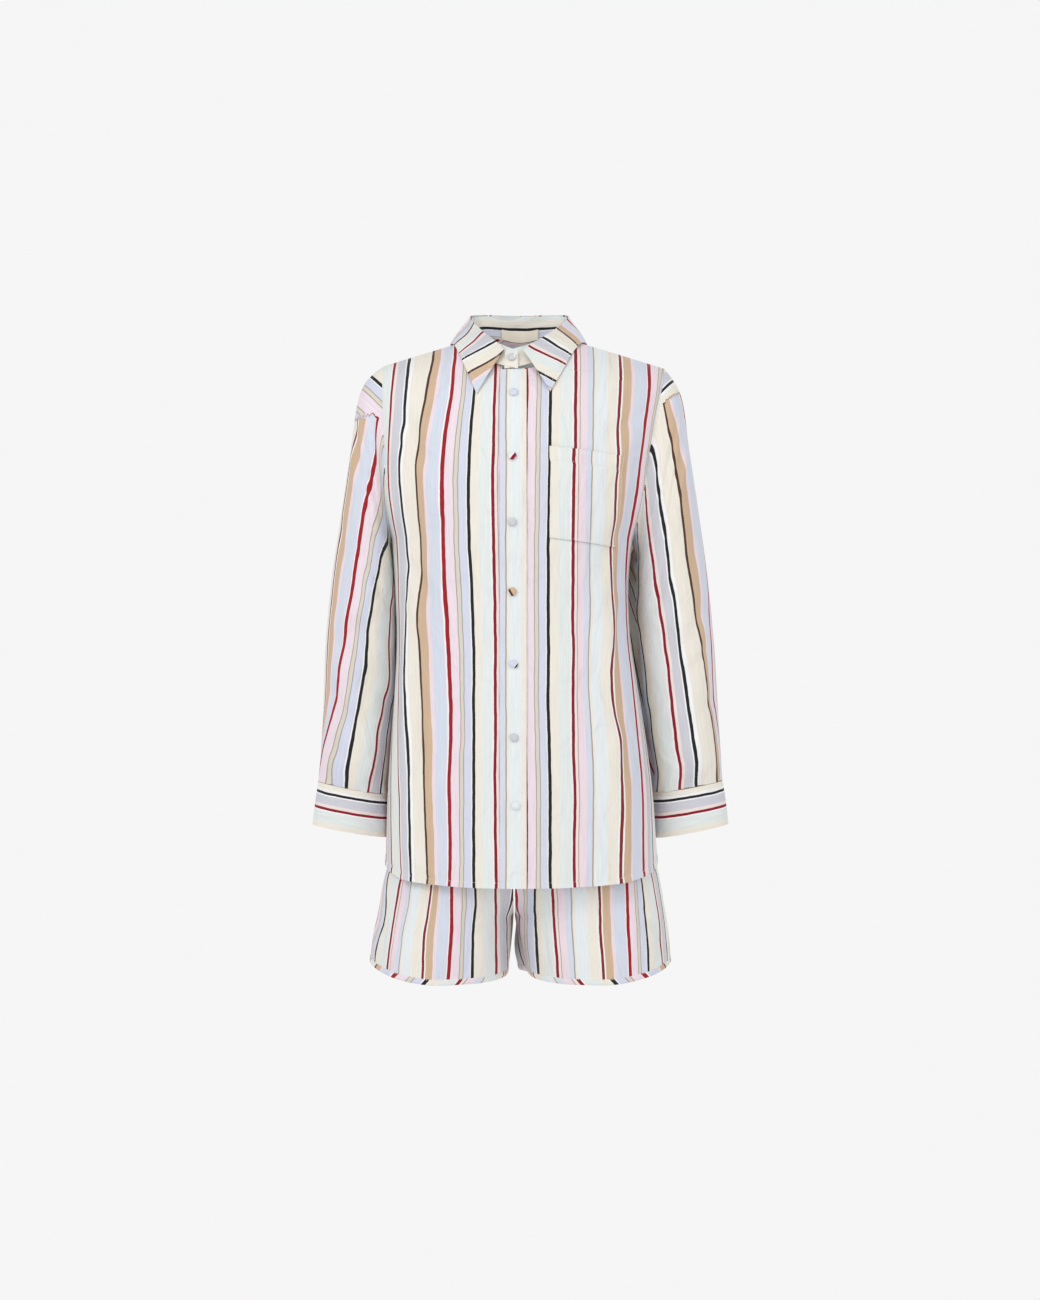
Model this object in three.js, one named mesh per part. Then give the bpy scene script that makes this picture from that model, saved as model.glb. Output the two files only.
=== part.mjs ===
// A striped cotton pyjama set: a long-sleeved button-front shirt worn over shorts, filled out with no wearer.
// Millimetres, +Z up, the front faces -Y and the wearer's left is at +X. The origin is between the shoulders,
// level with the points where the shoulder seams meet the neck.
import * as THREE from 'three';

// Cloth thicknesses and the gaps between pieces
const cloth = 1.6;
const foldedCloth = 2.2;
const seamGap = 0.4;
const layGap = 0.6;

// Driving heights of the shirt
const ridgeZ = 8;
const bustZ = -190;
const underarmZ = -262;
const shirtHemZ = -719;
const ridgeHeight = ridgeZ - bustZ;
const bustDepth = { front: 138, back: 116 };
const roundness = 2.3;
const armholeEnd = 0.42;

// Neck seam in plan, and the button line
const neck = { halfWidth: 70, middleY: -16, halfDepth: 76, backRise: 88 };
const frontEdgeX = -24;
const buttonLineX = -8.5;
const shoulderSlope = 0.3;

// Half widths and depths of the shirt body down its height
const bodySections = [
  { z: 8, left: 183, right: 194, front: 138, back: 116 },
  { z: -30, left: 184, right: 191, front: 138, back: 116 },
  { z: -75, left: 183, right: 183, front: 138, back: 116 },
  { z: -118, left: 181, right: 176, front: 138, back: 116 },
  { z: -190, left: 178, right: 165, front: 138, back: 116 },
  { z: -262, left: 173, right: 152, front: 136, back: 113 },
  { z: -320, left: 169, right: 146, front: 133, back: 109 },
  { z: -390, left: 166, right: 148, front: 131, back: 107 },
  { z: -450, left: 168, right: 157, front: 132, back: 110 },
  { z: -520, left: 173, right: 168, front: 134, back: 117 },
  { z: -600, left: 178, right: 178, front: 137, back: 125 },
  { z: -719, left: 181, right: 185, front: 141, back: 132 },
];
const hemRise = 26;
const hemRiseTop = -560;

// Largest folds of the shirt body: soft troughs and ridges down the cloth, by their distance from the centre
const bodyFolds = [
  { side: -1, half: 'front', top: -60, bottom: -420, from: 150, to: 138, width: 13, height: -5 },
  { side: -1, half: 'front', top: -330, bottom: -719, from: 172, to: 160, width: 15, height: 5 },
  { side: -1, half: 'front', top: -420, bottom: -719, from: 92, to: 98, width: 17, height: -3 },
  { side: 1, half: 'front', top: -130, bottom: -470, from: 172, to: 150, width: 14, height: -5 },
  { side: 1, half: 'front', top: -300, bottom: -719, from: 118, to: 140, width: 16, height: 5 },
  { side: 1, half: 'front', top: -430, bottom: -719, from: 72, to: 80, width: 15, height: -3 },
  { side: -1, half: 'back', top: -90, bottom: -719, from: 60, to: 74, width: 22, height: 7 },
  { side: -1, half: 'back', top: -230, bottom: -719, from: 140, to: 136, width: 20, height: -2.5 },
  { side: 1, half: 'back', top: -90, bottom: -719, from: 48, to: 66, width: 20, height: 6 },
  { side: 1, half: 'back', top: -210, bottom: -719, from: 120, to: 146, width: 20, height: -3 },
];

// Sleeve rings: each runs through an outer and an inner point of the sleeve, with its middle Y and half depth
const sleeveSections = {
  left: [
    { at: 0.0, outX: 184, outZ: -25, inX: 173, inZ: -262, y: 0, deep: 56 },
    { at: 0.05, outX: 203, outZ: -40, inX: 176, inZ: -272, y: 0, deep: 60 },
    { at: 0.12, outX: 218, outZ: -69, inX: 179, inZ: -281, y: 1, deep: 66 },
    { at: 0.21, outX: 229, outZ: -140, inX: 178, inZ: -302, y: 4, deep: 70 },
    { at: 0.33, outX: 243, outZ: -231, inX: 175, inZ: -338, y: 8, deep: 70 },
    { at: 0.46, outX: 255, outZ: -310, inX: 173, inZ: -386, y: 11, deep: 66 },
    { at: 0.6, outX: 264, outZ: -400, inX: 174, inZ: -448, y: 13, deep: 61 },
    { at: 0.74, outX: 267, outZ: -485, inX: 179, inZ: -515, y: 14, deep: 55 },
    { at: 0.9, outX: 271, outZ: -556, inX: 186, inZ: -574, y: 14, deep: 49 },
    { at: 1.0, outX: 274, outZ: -589, inX: 188, inZ: -607, y: 14, deep: 34 },
  ],
  right: [
    { at: 0.0, outX: 194, outZ: -28, inX: 152, inZ: -262, y: 0, deep: 56 },
    { at: 0.05, outX: 206, outZ: -43, inX: 157, inZ: -274, y: 0, deep: 60 },
    { at: 0.12, outX: 219, outZ: -70, inX: 162, inZ: -288, y: 1, deep: 66 },
    { at: 0.21, outX: 229, outZ: -140, inX: 163, inZ: -312, y: 4, deep: 70 },
    { at: 0.33, outX: 243, outZ: -231, inX: 163, inZ: -350, y: 8, deep: 70 },
    { at: 0.46, outX: 256, outZ: -325, inX: 165, inZ: -400, y: 11, deep: 66 },
    { at: 0.6, outX: 264, outZ: -410, inX: 170, inZ: -458, y: 13, deep: 61 },
    { at: 0.74, outX: 269, outZ: -490, inX: 179, inZ: -520, y: 14, deep: 55 },
    { at: 0.9, outX: 273, outZ: -556, inX: 190, inZ: -574, y: 14, deep: 49 },
    { at: 1.0, outX: 275, outZ: -588, inX: 192, inZ: -604, y: 14, deep: 34 },
  ],
};
const cuffEnd = {
  left: { outX: 282, outZ: -649, inX: 186, inZ: -666, y: 14, deep: 28 },
  right: { outX: 283, outZ: -648, inX: 191, inZ: -667, y: 14, deep: 28 },
};

// Largest folds of the sleeves: across the front of the arm, by the place along it and the angle round it
const sleeveFolds = [
  { at: 0.13, turn: 0.2, length: 0.13, width: 0.03, lean: 0.02, height: -5 },
  { at: 0.36, turn: 0.3, length: 0.14, width: 0.035, lean: 0.05, height: -4 },
  { at: 0.5, turn: 0.22, length: 0.12, width: 0.03, lean: -0.06, height: 3 },
  { at: 0.64, turn: 0.3, length: 0.15, width: 0.035, lean: 0.05, height: -4 },
  { at: 0.42, turn: 0.75, length: 0.15, width: 0.035, lean: -0.05, height: -4 },
  { at: 0.7, turn: 0.72, length: 0.14, width: 0.03, lean: 0.05, height: 3 },
];

// Placket, pocket and buttons
const placket = { left: -26, right: 8.5, thick: 1.6 };
const pocket = { inner: 38, outer: 141, topInner: -147, topOuter: -157, lowInner: -265, lowOuter: -276 };
const button = { radius: 5, rim: 0.9, dome: 3.2, sides: 12 };
const buttonPlaces = [
  { z: -77, x: -8.2 },
  { z: -160, x: -10.2 },
  { z: -245, x: -9.7 },
  { z: -335, x: -9.7 },
  { z: -429, x: -8.3 },
  { z: -524, x: -7.8 },
  { z: -612, x: -5.4 },
];

// Collar, from a leaf's front edge at 0 to the centre back at 1: its roll line, and its outer edge in plan
const collarLine = [
  { at: 0.0, rollX: 11.5, rollY: -84, rollZ: -17, edgeX: 48, edgeY: -111 },
  { at: 0.12, rollX: 20, rollY: -72, rollZ: -8, edgeX: 62, edgeY: -92 },
  { at: 0.26, rollX: 34, rollY: -50, rollZ: 5, edgeX: 75, edgeY: -64 },
  { at: 0.4, rollX: 48, rollY: -24, rollZ: 19, edgeX: 85, edgeY: -30 },
  { at: 0.54, rollX: 58, rollY: 0, rollZ: 33, edgeX: 91, edgeY: 4 },
  { at: 0.68, rollX: 63.5, rollY: 24, rollZ: 45, edgeX: 83, edgeY: 40 },
  { at: 0.82, rollX: 52, rollY: 48, rollZ: 51, edgeX: 54, edgeY: 66 },
  { at: 1.0, rollX: 0, rollY: 60, rollZ: 52, edgeX: 0, edgeY: 76 },
];
const collarBulge = 5;
const rollSpace = { all: 0.6, front: 1.4, above: 1.5 };
const standOverlap = { over: 6, under: 12, step: 2.9 };
const label = { halfWidth: 25.5, low: 0.06, high: 0.52, thick: 1.0 };

// Shorts: half widths and depths down their height
const crotchZ = -768;
const riseStartZ = -650;
const legFormZ = { start: -706, end: -815 };
const shortsTopZ = -482;
const waistbandDepth = 32;
const legHemZ = -848;
const legHemRise = 17;
const shortsRoundness = 2.15;
const shortsSections = [
  { z: -482, left: 126, right: 128, front: 94, back: 90, innerLeft: 8.3, innerRight: -7.7 },
  { z: -516, left: 136, right: 138, front: 101, back: 97, innerLeft: 8.3, innerRight: -7.7 },
  { z: -570, left: 154, right: 156, front: 111, back: 108, innerLeft: 8.3, innerRight: -7.7 },
  { z: -640, left: 166, right: 169, front: 118, back: 116, innerLeft: 8.3, innerRight: -7.7 },
  { z: -690, left: 175, right: 181.1, front: 121, back: 121, innerLeft: 8.3, innerRight: -7.7 },
  { z: -724, left: 184, right: 189, front: 121, back: 123, innerLeft: 8.3, innerRight: -7.7 },
  { z: -768, left: 191, right: 196, front: 119, back: 121, innerLeft: 8.3, innerRight: -7.7 },
  { z: -800, left: 197, right: 200, front: 117, back: 118, innerLeft: 10.5, innerRight: -1 },
  { z: -848, left: 202, right: 203, front: 114, back: 114, innerLeft: 16, innerRight: 11 },
];
const shortsCentreX = -8;
const bindingDepth = 6.5;
const bindingThick = 2.4;
const shortsFolds = [
  { side: -1, half: 'front', turn: 0.3, top: -660, bottom: -848, width: 0.07, height: 5 },
  { side: -1, half: 'front', turn: 0.62, top: -660, bottom: -848, width: 0.07, height: -4 },
  { side: 1, half: 'front', turn: 0.24, top: -660, bottom: -848, width: 0.07, height: 5 },
  { side: 1, half: 'front', turn: 0.55, top: -660, bottom: -848, width: 0.08, height: -4 },
  { side: -1, half: 'back', turn: 0.4, top: -712, bottom: -848, width: 0.09, height: 5 },
  { side: 1, half: 'back', turn: 0.45, top: -712, bottom: -848, width: 0.09, height: 5 },
];

// Number of facets across and down each piece
const count = {
  neckRows: 4, chestRows: 4, underarmRows: 4, bodyRows: 9, yokeRows: 2,
  frontColumns: 12, backColumns: 22, sleeveRings: 17,
  collarColumns: 34, collarRows: 4, shortsColumns: 10, hipRows: 5, riseRows: 6, legRows: 3,
};

const sides = { left: -1, right: 1 };
const stripedCotton = new THREE.MeshStandardMaterial({ color: 0xe9e4e4, roughness: 0.85 });
const plainLabel = new THREE.MeshStandardMaterial({ color: 0xefe3cf, roughness: 0.7 });
const coveredButton = new THREE.MeshStandardMaterial({ color: 0xd6d3d6, roughness: 0.7 });

function mix(a, b, t) {
  return a + (b - a) * t;
}

function ease(t) {
  const c = Math.min(1, Math.max(0, t));
  return c * c * (3 - 2 * c);
}

function signedPower(value, power) {
  return Math.sign(value) * Math.abs(value) ** power;
}

// Reads one column of a table smoothly, by a key column that runs steadily up or down
function read(table, key, column, at) {
  const down = table[0][key] > table[table.length - 1][key] ? -1 : 1;
  let k = 0;
  while (k < table.length - 2 && (at - table[k + 1][key]) * down > 0) k += 1;
  const a = table[k];
  const b = table[k + 1];
  const before = table[Math.max(0, k - 1)];
  const after = table[Math.min(table.length - 1, k + 2)];
  const span = b[key] - a[key];
  const t = Math.min(1, Math.max(0, (at - a[key]) / span));
  const slopeA = (b[column] - before[column]) / (b[key] - before[key] || 1) * span;
  const slopeB = (after[column] - a[column]) / (after[key] - a[key] || 1) * span;
  const t2 = t * t;
  const t3 = t2 * t;
  return (2 * t3 - 3 * t2 + 1) * a[column] + (t3 - 2 * t2 + t) * slopeA
    + (3 * t2 - 2 * t3) * b[column] + (t3 - t2) * slopeB;
}

// One closed wall from a grid of inner points and their outward directions
function wall(name, material, grid, thickness, around = false) {
  const rows = grid.length;
  const columns = grid[0].length;
  const positions = [];
  for (const layer of [0, 1]) {
    for (const row of grid) {
      for (const { point, out } of row) {
        const p = point.clone().addScaledVector(out, layer * thickness);
        positions.push(p.x, p.y, p.z);
      }
    }
  }
  const size = rows * columns;
  const index = [];
  const quad = (a, b, c, d) => index.push(a, b, c, a, c, d);
  const lastColumn = around ? columns : columns - 1;
  for (let i = 0; i < rows - 1; i += 1) {
    for (let j = 0; j < lastColumn; j += 1) {
      const k = (j + 1) % columns;
      const corners = [i * columns + j, i * columns + k, (i + 1) * columns + k, (i + 1) * columns + j];
      quad(corners[3], corners[2], corners[1], corners[0]);
      quad(...corners.map((c) => c + size));
    }
  }
  const rim = (a, b) => quad(a, b, b + size, a + size);
  for (let j = 0; j < lastColumn; j += 1) {
    const k = (j + 1) % columns;
    rim(j, k);
    rim((rows - 1) * columns + k, (rows - 1) * columns + j);
  }
  if (!around) {
    for (let i = 0; i < rows - 1; i += 1) {
      rim((i + 1) * columns, i * columns);
      rim(i * columns + columns - 1, (i + 1) * columns + columns - 1);
    }
  }
  if (signedVolume(positions, index) < 0) index.reverse();
  const geometry = new THREE.BufferGeometry();
  geometry.setAttribute('position', new THREE.Float32BufferAttribute(positions, 3));
  geometry.setIndex(index);
  geometry.computeVertexNormals();
  const mesh = new THREE.Mesh(geometry, material);
  mesh.name = name;
  return mesh;
}

function signedVolume(positions, index) {
  const corner = (i) => new THREE.Vector3(...positions.slice(3 * index[i], 3 * index[i] + 3));
  let volume = 0;
  for (let i = 0; i < index.length; i += 3) {
    volume += corner(i).dot(corner(i + 1).cross(corner(i + 2)));
  }
  return volume;
}

// The same grid moved out along its directions
function lifted(grid, distance) {
  return grid.map((row) => row.map(({ point, out }) => ({
    point: point.clone().addScaledVector(out, distance),
    out,
  })));
}

// Outward directions of a grid that closes on itself around, worked out from its own points
function withDirections(points, around, firstRow) {
  const rows = points.length;
  const columns = points[0].length;
  return points.map((row, i) => row.map((point, j) => {
    if (i === 0 && firstRow) return { point, out: firstRow[j] };
    const up = points[Math.max(0, i - 1)][j];
    const down = points[Math.min(rows - 1, i + 1)][j];
    const back = around ? row[(j + columns - 1) % columns] : row[Math.max(0, j - 1)];
    const on = around ? row[(j + 1) % columns] : row[Math.min(columns - 1, j + 1)];
    const out = on.clone().sub(back).cross(down.clone().sub(up)).normalize();
    return { point, out };
  }));
}

// Turns a grid's directions so that they point away from a middle point of each row
function facingOut(grid) {
  for (const row of grid) {
    const middle = new THREE.Vector3();
    row.forEach(({ point }) => middle.addScaledVector(point, 1 / row.length));
    const agreement = row.reduce((sum, { point, out }) => sum + point.clone().sub(middle).dot(out), 0);
    if (agreement < 0) row.forEach((cell) => cell.out.negate());
  }
  return grid;
}

// Shirt body. A level is 0 at the bust, positive down the body and negative up to the shoulder ridge.
const ridgeLevel = -ridgeHeight * Math.PI / 2;
const underarmLevel = bustZ - underarmZ;
const hemLevel = bustZ - shirtHemZ;

function nominalZ(level) {
  return level < 0 ? bustZ + ridgeHeight * Math.sin(-level / ridgeHeight) : bustZ - level;
}

// Height of the shoulder part of the body: a quarter round, sloping to the tips and rising at the back neck
function shoulderZ(half, x, turn) {
  const upright = Math.sin(turn);
  const outside = Math.max(0, Math.abs(x) - neck.halfWidth);
  const inside = Math.max(0, 1 - (x / neck.halfWidth) ** 2) ** 1.3;
  const rise = half === 'back' ? neck.backRise * inside * upright ** 6 : 0;
  return bustZ + ridgeHeight * upright + rise - shoulderSlope * outside * upright ** 2;
}

// How far the armhole is cut into a half of the body, as a share of its depth
function armholeShare(level) {
  if (level >= underarmLevel) return 0;
  if (level <= 0) return armholeEnd;
  return armholeEnd * Math.sqrt(1 - (level / underarmLevel) ** 2);
}

function bodySection(side, half, level) {
  const zn = nominalZ(level);
  const power = 2 / roundness;
  const wide = read(bodySections, 'z', side < 0 ? 'left' : 'right', zn);
  const deep = read(bodySections, 'z', half, zn) * (level < 0 ? Math.cos(level / ridgeHeight) : 1);
  const endCos = armholeShare(level) ** (1 / power);
  const endTurn = Math.acos(endCos);
  const halfWidth = wide / Math.sin(endTurn) ** power;
  const facing = half === 'front' ? -1 : 1;
  const steps = 60;
  const flat = (turn) => new THREE.Vector2(
    halfWidth * signedPower(Math.sin(turn), power),
    deep * signedPower(Math.cos(turn), power),
  );
  const along = [0];
  for (let k = 1; k <= steps; k += 1) {
    along.push(along[k - 1] + flat(endTurn * (k - 1) / steps).distanceTo(flat(endTurn * k / steps)));
  }
  const length = along[steps];
  function turnAt(distance) {
    const d = Math.abs(distance);
    if (d >= length) return endTurn * (1 + (d - length) / (along[steps] - along[steps - 1]) / steps);
    let k = 1;
    while (along[k] < d) k += 1;
    const turn = endTurn * (k - 1 + (d - along[k - 1]) / (along[k] - along[k - 1])) / steps;
    return Math.sign(distance || 1) * turn;
  }
  function distanceAt(turn) {
    const place = Math.min(steps, Math.abs(turn) / endTurn * steps);
    const k = Math.min(steps - 1, Math.floor(place));
    return mix(along[k], along[k + 1], place - k);
  }
  function point(turn) {
    const { x, y } = flat(turn);
    const distance = distanceAt(turn);
    let z = zn;
    if (level < 0) z = shoulderZ(half, x, -level / ridgeHeight);
    const nearHem = ease((hemRiseTop - zn) / (hemRiseTop - shirtHemZ));
    if (level > 0) z += hemRise * (distance / length) ** 3 * nearHem;
    const across = new THREE.Vector2(x / halfWidth ** 2, y / Math.max(1, deep) ** 2).normalize();
    const fold = turn > 0 ? foldHeight(bodyFolds, side, half, zn, distance) : 0;
    return new THREE.Vector3(side * (x + across.x * fold), facing * (y + across.y * fold), z);
  }
  const turnAtX = (x) => Math.asin(Math.min(1, Math.abs(x) / halfWidth) ** (1 / power));
  return { length, turnAt, turnAtX, point };
}

function foldHeight(folds, side, half, z, distance) {
  let height = 0;
  for (const fold of folds) {
    if (fold.side !== side || fold.half !== half || z > fold.top || z < fold.bottom) continue;
    const t = (z - fold.top) / (fold.bottom - fold.top);
    const fade = Math.min(ease(t / 0.3), fold.bottom === shirtHemZ ? 1 : ease((1 - t) / 0.3));
    height += fold.height * fade * Math.exp(-(((distance - mix(fold.from, fold.to, t)) / fold.width) ** 2));
  }
  return height;
}

// A point of the body with its outward direction, from the turn of the section at a level
function bodyCell(side, half, level, findTurn) {
  const step = 1.5;
  const here = bodySection(side, half, level);
  const turn = findTurn(here);
  const small = 0.02;
  const across = here.point(turn + small).sub(here.point(turn - small));
  const above = bodySection(side, half, level - step).point(turn);
  const below = bodySection(side, half, level + step).point(turn);
  const out = across.cross(below.sub(above)).normalize();
  if (side * (half === 'front' ? 1 : -1) > 0) out.negate();
  return { point: here.point(turn), out };
}

// A place on the body in plan: finds the level of a half at which it passes over x and y
function bodyOver(x, y, half) {
  const side = x < 0 ? -1 : 1;
  let low = ridgeLevel;
  let high = 0;
  for (let k = 0; k < 30; k += 1) {
    const middle = (low + high) / 2;
    const section = bodySection(side, half, middle);
    if (Math.abs(section.point(section.turnAtX(x)).y) > Math.abs(y)) high = middle;
    else low = middle;
  }
  return bodyCell(side, half, low, (section) => section.turnAtX(x));
}

function insideNeck({ x, y }) {
  return (x / neck.halfWidth) ** 2 + ((y - neck.middleY) / neck.halfDepth) ** 2 < 1;
}

// How far out the neck seam cuts a section, or a place past the other front's edge below it
function neckCut(side, half, level) {
  const section = bodySection(side, half, level);
  if (!insideNeck(section.point(0.001))) return -neck.halfWidth;
  let low = 0;
  let high = neck.halfWidth * 1.4;
  for (let k = 0; k < 30; k += 1) {
    const middle = (low + high) / 2;
    if (insideNeck(section.point(section.turnAt(middle)))) low = middle;
    else high = middle;
  }
  return high;
}

// Level at which the neck seam crosses the centre of a half
function neckLevel(half) {
  const reach = half === 'front' ? neck.halfDepth - neck.middleY : neck.halfDepth + neck.middleY;
  return -ridgeHeight * Math.acos(reach / bustDepth[half]);
}

const frontNeckLevel = neckLevel('front');
const yokeLevel = -ridgeHeight * Math.asin((-62 - bustZ) / ridgeHeight);

function levels(from, to, steps) {
  return Array.from({ length: steps }, (_, k) => mix(from, to, k / steps));
}

// The armhole's levels, from the shoulder ridge to the underarm, shared by the body and the sleeve
function armholeLevels(half) {
  const middle = half === 'front' ? frontNeckLevel : yokeLevel;
  const above = half === 'front' ? count.neckRows : count.yokeRows + 1;
  const underarm = Array.from({ length: count.underarmRows + 1 }, (_, k) => (
    underarmLevel * Math.sin(Math.PI / 2 * k / count.underarmRows)));
  return [...levels(ridgeLevel, middle, above), ...levels(middle, 0, count.chestRows), ...underarm];
}

// Grid of a front: from its centre edge to the armhole and side seam
function frontGrid(side, edge, levelList, columns) {
  return levelList.map((level) => {
    const section = bodySection(side, 'front', level);
    const start = Math.max(edge, neckCut(side, 'front', level) + (level < frontNeckLevel - 1 ? seamGap : 0));
    const end = section.length - seamGap / 2;
    return Array.from({ length: columns + 1 }, (_, j) => (
      bodyCell(side, 'front', level, (s) => s.turnAt(mix(start, end, j / columns)))));
  });
}

const shirtFrontLevels = [
  ...armholeLevels('front'),
  ...levels(underarmLevel, hemLevel, count.bodyRows).slice(1),
  hemLevel,
];
shirtFrontLevels[0] += seamGap / 2;

function makeFronts() {
  const right = frontGrid(sides.left, -frontEdgeX + seamGap, shirtFrontLevels, count.frontColumns);
  const left = frontGrid(sides.right, frontEdgeX, shirtFrontLevels, count.frontColumns);
  return [
    wall('shirt_front_right', stripedCotton, right, cloth),
    wall('shirt_front_left', stripedCotton, left, cloth),
  ];
}

// Grid over both back quarters, from the left armhole to the right one
function backGrid(levelList, columns) {
  return levelList.map((level) => Array.from({ length: columns + 1 }, (_, j) => {
    const share = 2 * j / columns - 1;
    const side = share < 0 ? -1 : 1;
    const section = bodySection(side, 'back', level);
    const end = section.length - seamGap / 2;
    return bodyCell(side, 'back', level, (s) => Math.abs(s.turnAt(end * Math.abs(share) + 1e-6)));
  }));
}

function makeBack() {
  const armhole = armholeLevels('back').filter((level) => level >= yokeLevel - 1e-6);
  armhole[0] += seamGap;
  const rows = [...armhole, ...levels(underarmLevel, hemLevel, count.bodyRows).slice(1), hemLevel];
  return wall('shirt_back', stripedCotton, backGrid(rows, count.backColumns), cloth);
}

// The yoke runs over both shoulders, cut out round the neck
function makeYoke() {
  const backNeck = neckLevel('back');
  const upper = armholeLevels('back').filter((level) => level < yokeLevel - 1e-6);
  const rows = [...upper, backNeck, yokeLevel].sort((a, b) => a - b);
  rows[0] += seamGap / 2;
  const half = count.backColumns / 2;
  const strip = (side) => rows.map((level) => {
    const section = bodySection(side, 'back', level);
    const start = Math.max(0, neckCut(side, 'back', level));
    const end = section.length - seamGap / 2;
    return Array.from({ length: half + 1 }, (_, j) => (
      bodyCell(side, 'back', level, (s) => s.turnAt(mix(start, end, j / half)))));
  });
  const left = strip(sides.left);
  const right = strip(sides.right);
  return yokeWall(left, right, rows.indexOf(backNeck));
}

// Joins the two sides of the yoke into one closed wall below the neck
function yokeWall(left, right, joinRow) {
  const positions = [];
  const index = [];
  const key = new Map();
  const vertex = (cell, layer) => {
    const p = cell.point.clone().addScaledVector(cell.out, layer * cloth);
    const name = [p.x, p.y, p.z].map((v) => Math.round(v * 1000)).join();
    if (!key.has(name)) {
      key.set(name, positions.length / 3);
      positions.push(p.x, p.y, p.z);
    }
    return key.get(name);
  };
  const face = (a, b, c) => {
    if (a !== b && b !== c && a !== c) index.push(a, b, c);
  };
  const quad = (a, b, c, d) => {
    face(a, b, c);
    face(a, c, d);
  };
  const addSide = (grid, turned) => {
    const last = grid[0].length - 1;
    const place = (a, b, c, d) => (turned ? quad(d, c, b, a) : quad(a, b, c, d));
    const rim = (p, q) => place(vertex(p, 0), vertex(q, 0), vertex(q, 1), vertex(p, 1));
    for (let i = 0; i < grid.length - 1; i += 1) {
      for (let j = 0; j < last; j += 1) {
        const cells = [grid[i][j], grid[i][j + 1], grid[i + 1][j + 1], grid[i + 1][j]];
        place(...cells.map((cell) => vertex(cell, 1)));
        place(...cells.map((cell) => vertex(cell, 0)).reverse());
      }
      rim(grid[i][last], grid[i + 1][last]);
      if (i < joinRow) rim(grid[i + 1][0], grid[i][0]);
    }
    for (let j = 0; j < last; j += 1) {
      rim(grid[0][j], grid[0][j + 1]);
      rim(grid[grid.length - 1][j + 1], grid[grid.length - 1][j]);
    }
  };
  const middle = left.map((row) => row[0]);
  right.forEach((row, i) => {
    if (i >= joinRow) row[0] = middle[i];
  });
  addSide(right, false);
  addSide(left, true);
  if (signedVolume(positions, index) < 0) index.reverse();
  const geometry = new THREE.BufferGeometry();
  geometry.setAttribute('position', new THREE.Float32BufferAttribute(positions, 3));
  geometry.setIndex(index);
  geometry.computeVertexNormals();
  const mesh = new THREE.Mesh(geometry, stripedCotton);
  mesh.name = 'shirt_yoke';
  return mesh;
}

// The closed loop of an armhole, from the shoulder down the front and up the back
function armholeLoop(side) {
  const half = (name) => armholeLevels(name).map((level) => {
    const end = bodySection(side, name, level).length;
    const cell = bodyCell(side, name, level, (s) => s.turnAt(end));
    const inner = bodyCell(side, name, level, (s) => s.turnAt(end - 2));
    const away = cell.point.clone().sub(inner.point).normalize();
    return { point: cell.point.clone().addScaledVector(away, seamGap), out: cell.out };
  });
  const front = half('front');
  const back = half('back').reverse();
  return [...front, ...back.slice(1, -1)];
}

// Share of the turn round an armhole at each of its points, by length
function loopTurns(loop) {
  const frontCount = armholeLevels('front').length - 1;
  const lengths = loop.map((cell, j) => cell.point.distanceTo(loop[(j + 1) % loop.length].point));
  const total = (from, to) => lengths.slice(from, to).reduce((sum, length) => sum + length, 0);
  return loop.map((_, j) => (j <= frontCount
    ? 0.5 * total(0, j) / total(0, frontCount)
    : 0.5 + 0.5 * total(frontCount, j) / total(frontCount, loop.length)));
}

function sleeveFold(at, turn) {
  let height = 0;
  for (const fold of sleeveFolds) {
    const across = (turn - fold.turn) / fold.length;
    const along = (at - fold.at - fold.lean * across) / fold.width;
    height += fold.height * Math.exp(-across * across - along * along);
  }
  return height;
}

// A point of a sleeve ring, from its row of sizes and the share of the turn round it
function ringPoint(side, ring, turn, swell) {
  const angle = 2 * Math.PI * turn;
  const outer = new THREE.Vector3(side * ring.outX, ring.y, ring.outZ);
  const inner = new THREE.Vector3(side * ring.inX, ring.y, ring.inZ);
  const middle = outer.clone().add(inner).multiplyScalar(0.5);
  const half = outer.clone().sub(inner).multiplyScalar(0.5);
  const reach = 1 + swell / half.length();
  const p = middle.addScaledVector(half, Math.cos(angle) * reach);
  p.y -= (ring.deep + swell) * Math.sin(angle);
  return p;
}

function sleeveRing(name, at) {
  const ring = {};
  for (const column of ['outX', 'outZ', 'inX', 'inZ', 'y', 'deep']) {
    ring[column] = read(sleeveSections[name], 'at', column, at);
  }
  return ring;
}

function makeSleeve(name, wearer) {
  const side = sides[name];
  const loop = armholeLoop(side);
  const turns = loopTurns(loop);
  const first = 0.05;
  const points = [loop.map((cell) => cell.point)];
  for (let k = 0; k < count.sleeveRings; k += 1) {
    const at = mix(first, 1, k / (count.sleeveRings - 1));
    const ring = sleeveRing(name, at);
    points.push(turns.map((turn) => ringPoint(side, ring, turn, sleeveFold(at, turn))));
  }
  const grid = facingOut(withDirections(points, true));
  grid[0] = loop.map((cell) => ({ point: cell.point, out: cell.out }));
  return wall(`shirt_sleeve_${wearer}`, stripedCotton, grid, cloth, true);
}

function makeCuff(name, wearer) {
  const side = sides[name];
  const turns = loopTurns(armholeLoop(side));
  const top = sleeveRing(name, 1);
  const points = [0, 0.5, 1].map((t) => {
    const ring = {};
    for (const column of Object.keys(top)) ring[column] = mix(top[column], cuffEnd[name][column], t);
    const drop = (1 - t) * seamGap * 2;
    return turns.map((turn) => ringPoint(side, ring, turn, 0).add(new THREE.Vector3(side * 0.1, 0, -drop)));
  });
  const grid = facingOut(withDirections(points, true));
  return wall(`shirt_cuff_${wearer}`, stripedCotton, grid, foldedCloth, true);
}

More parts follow.
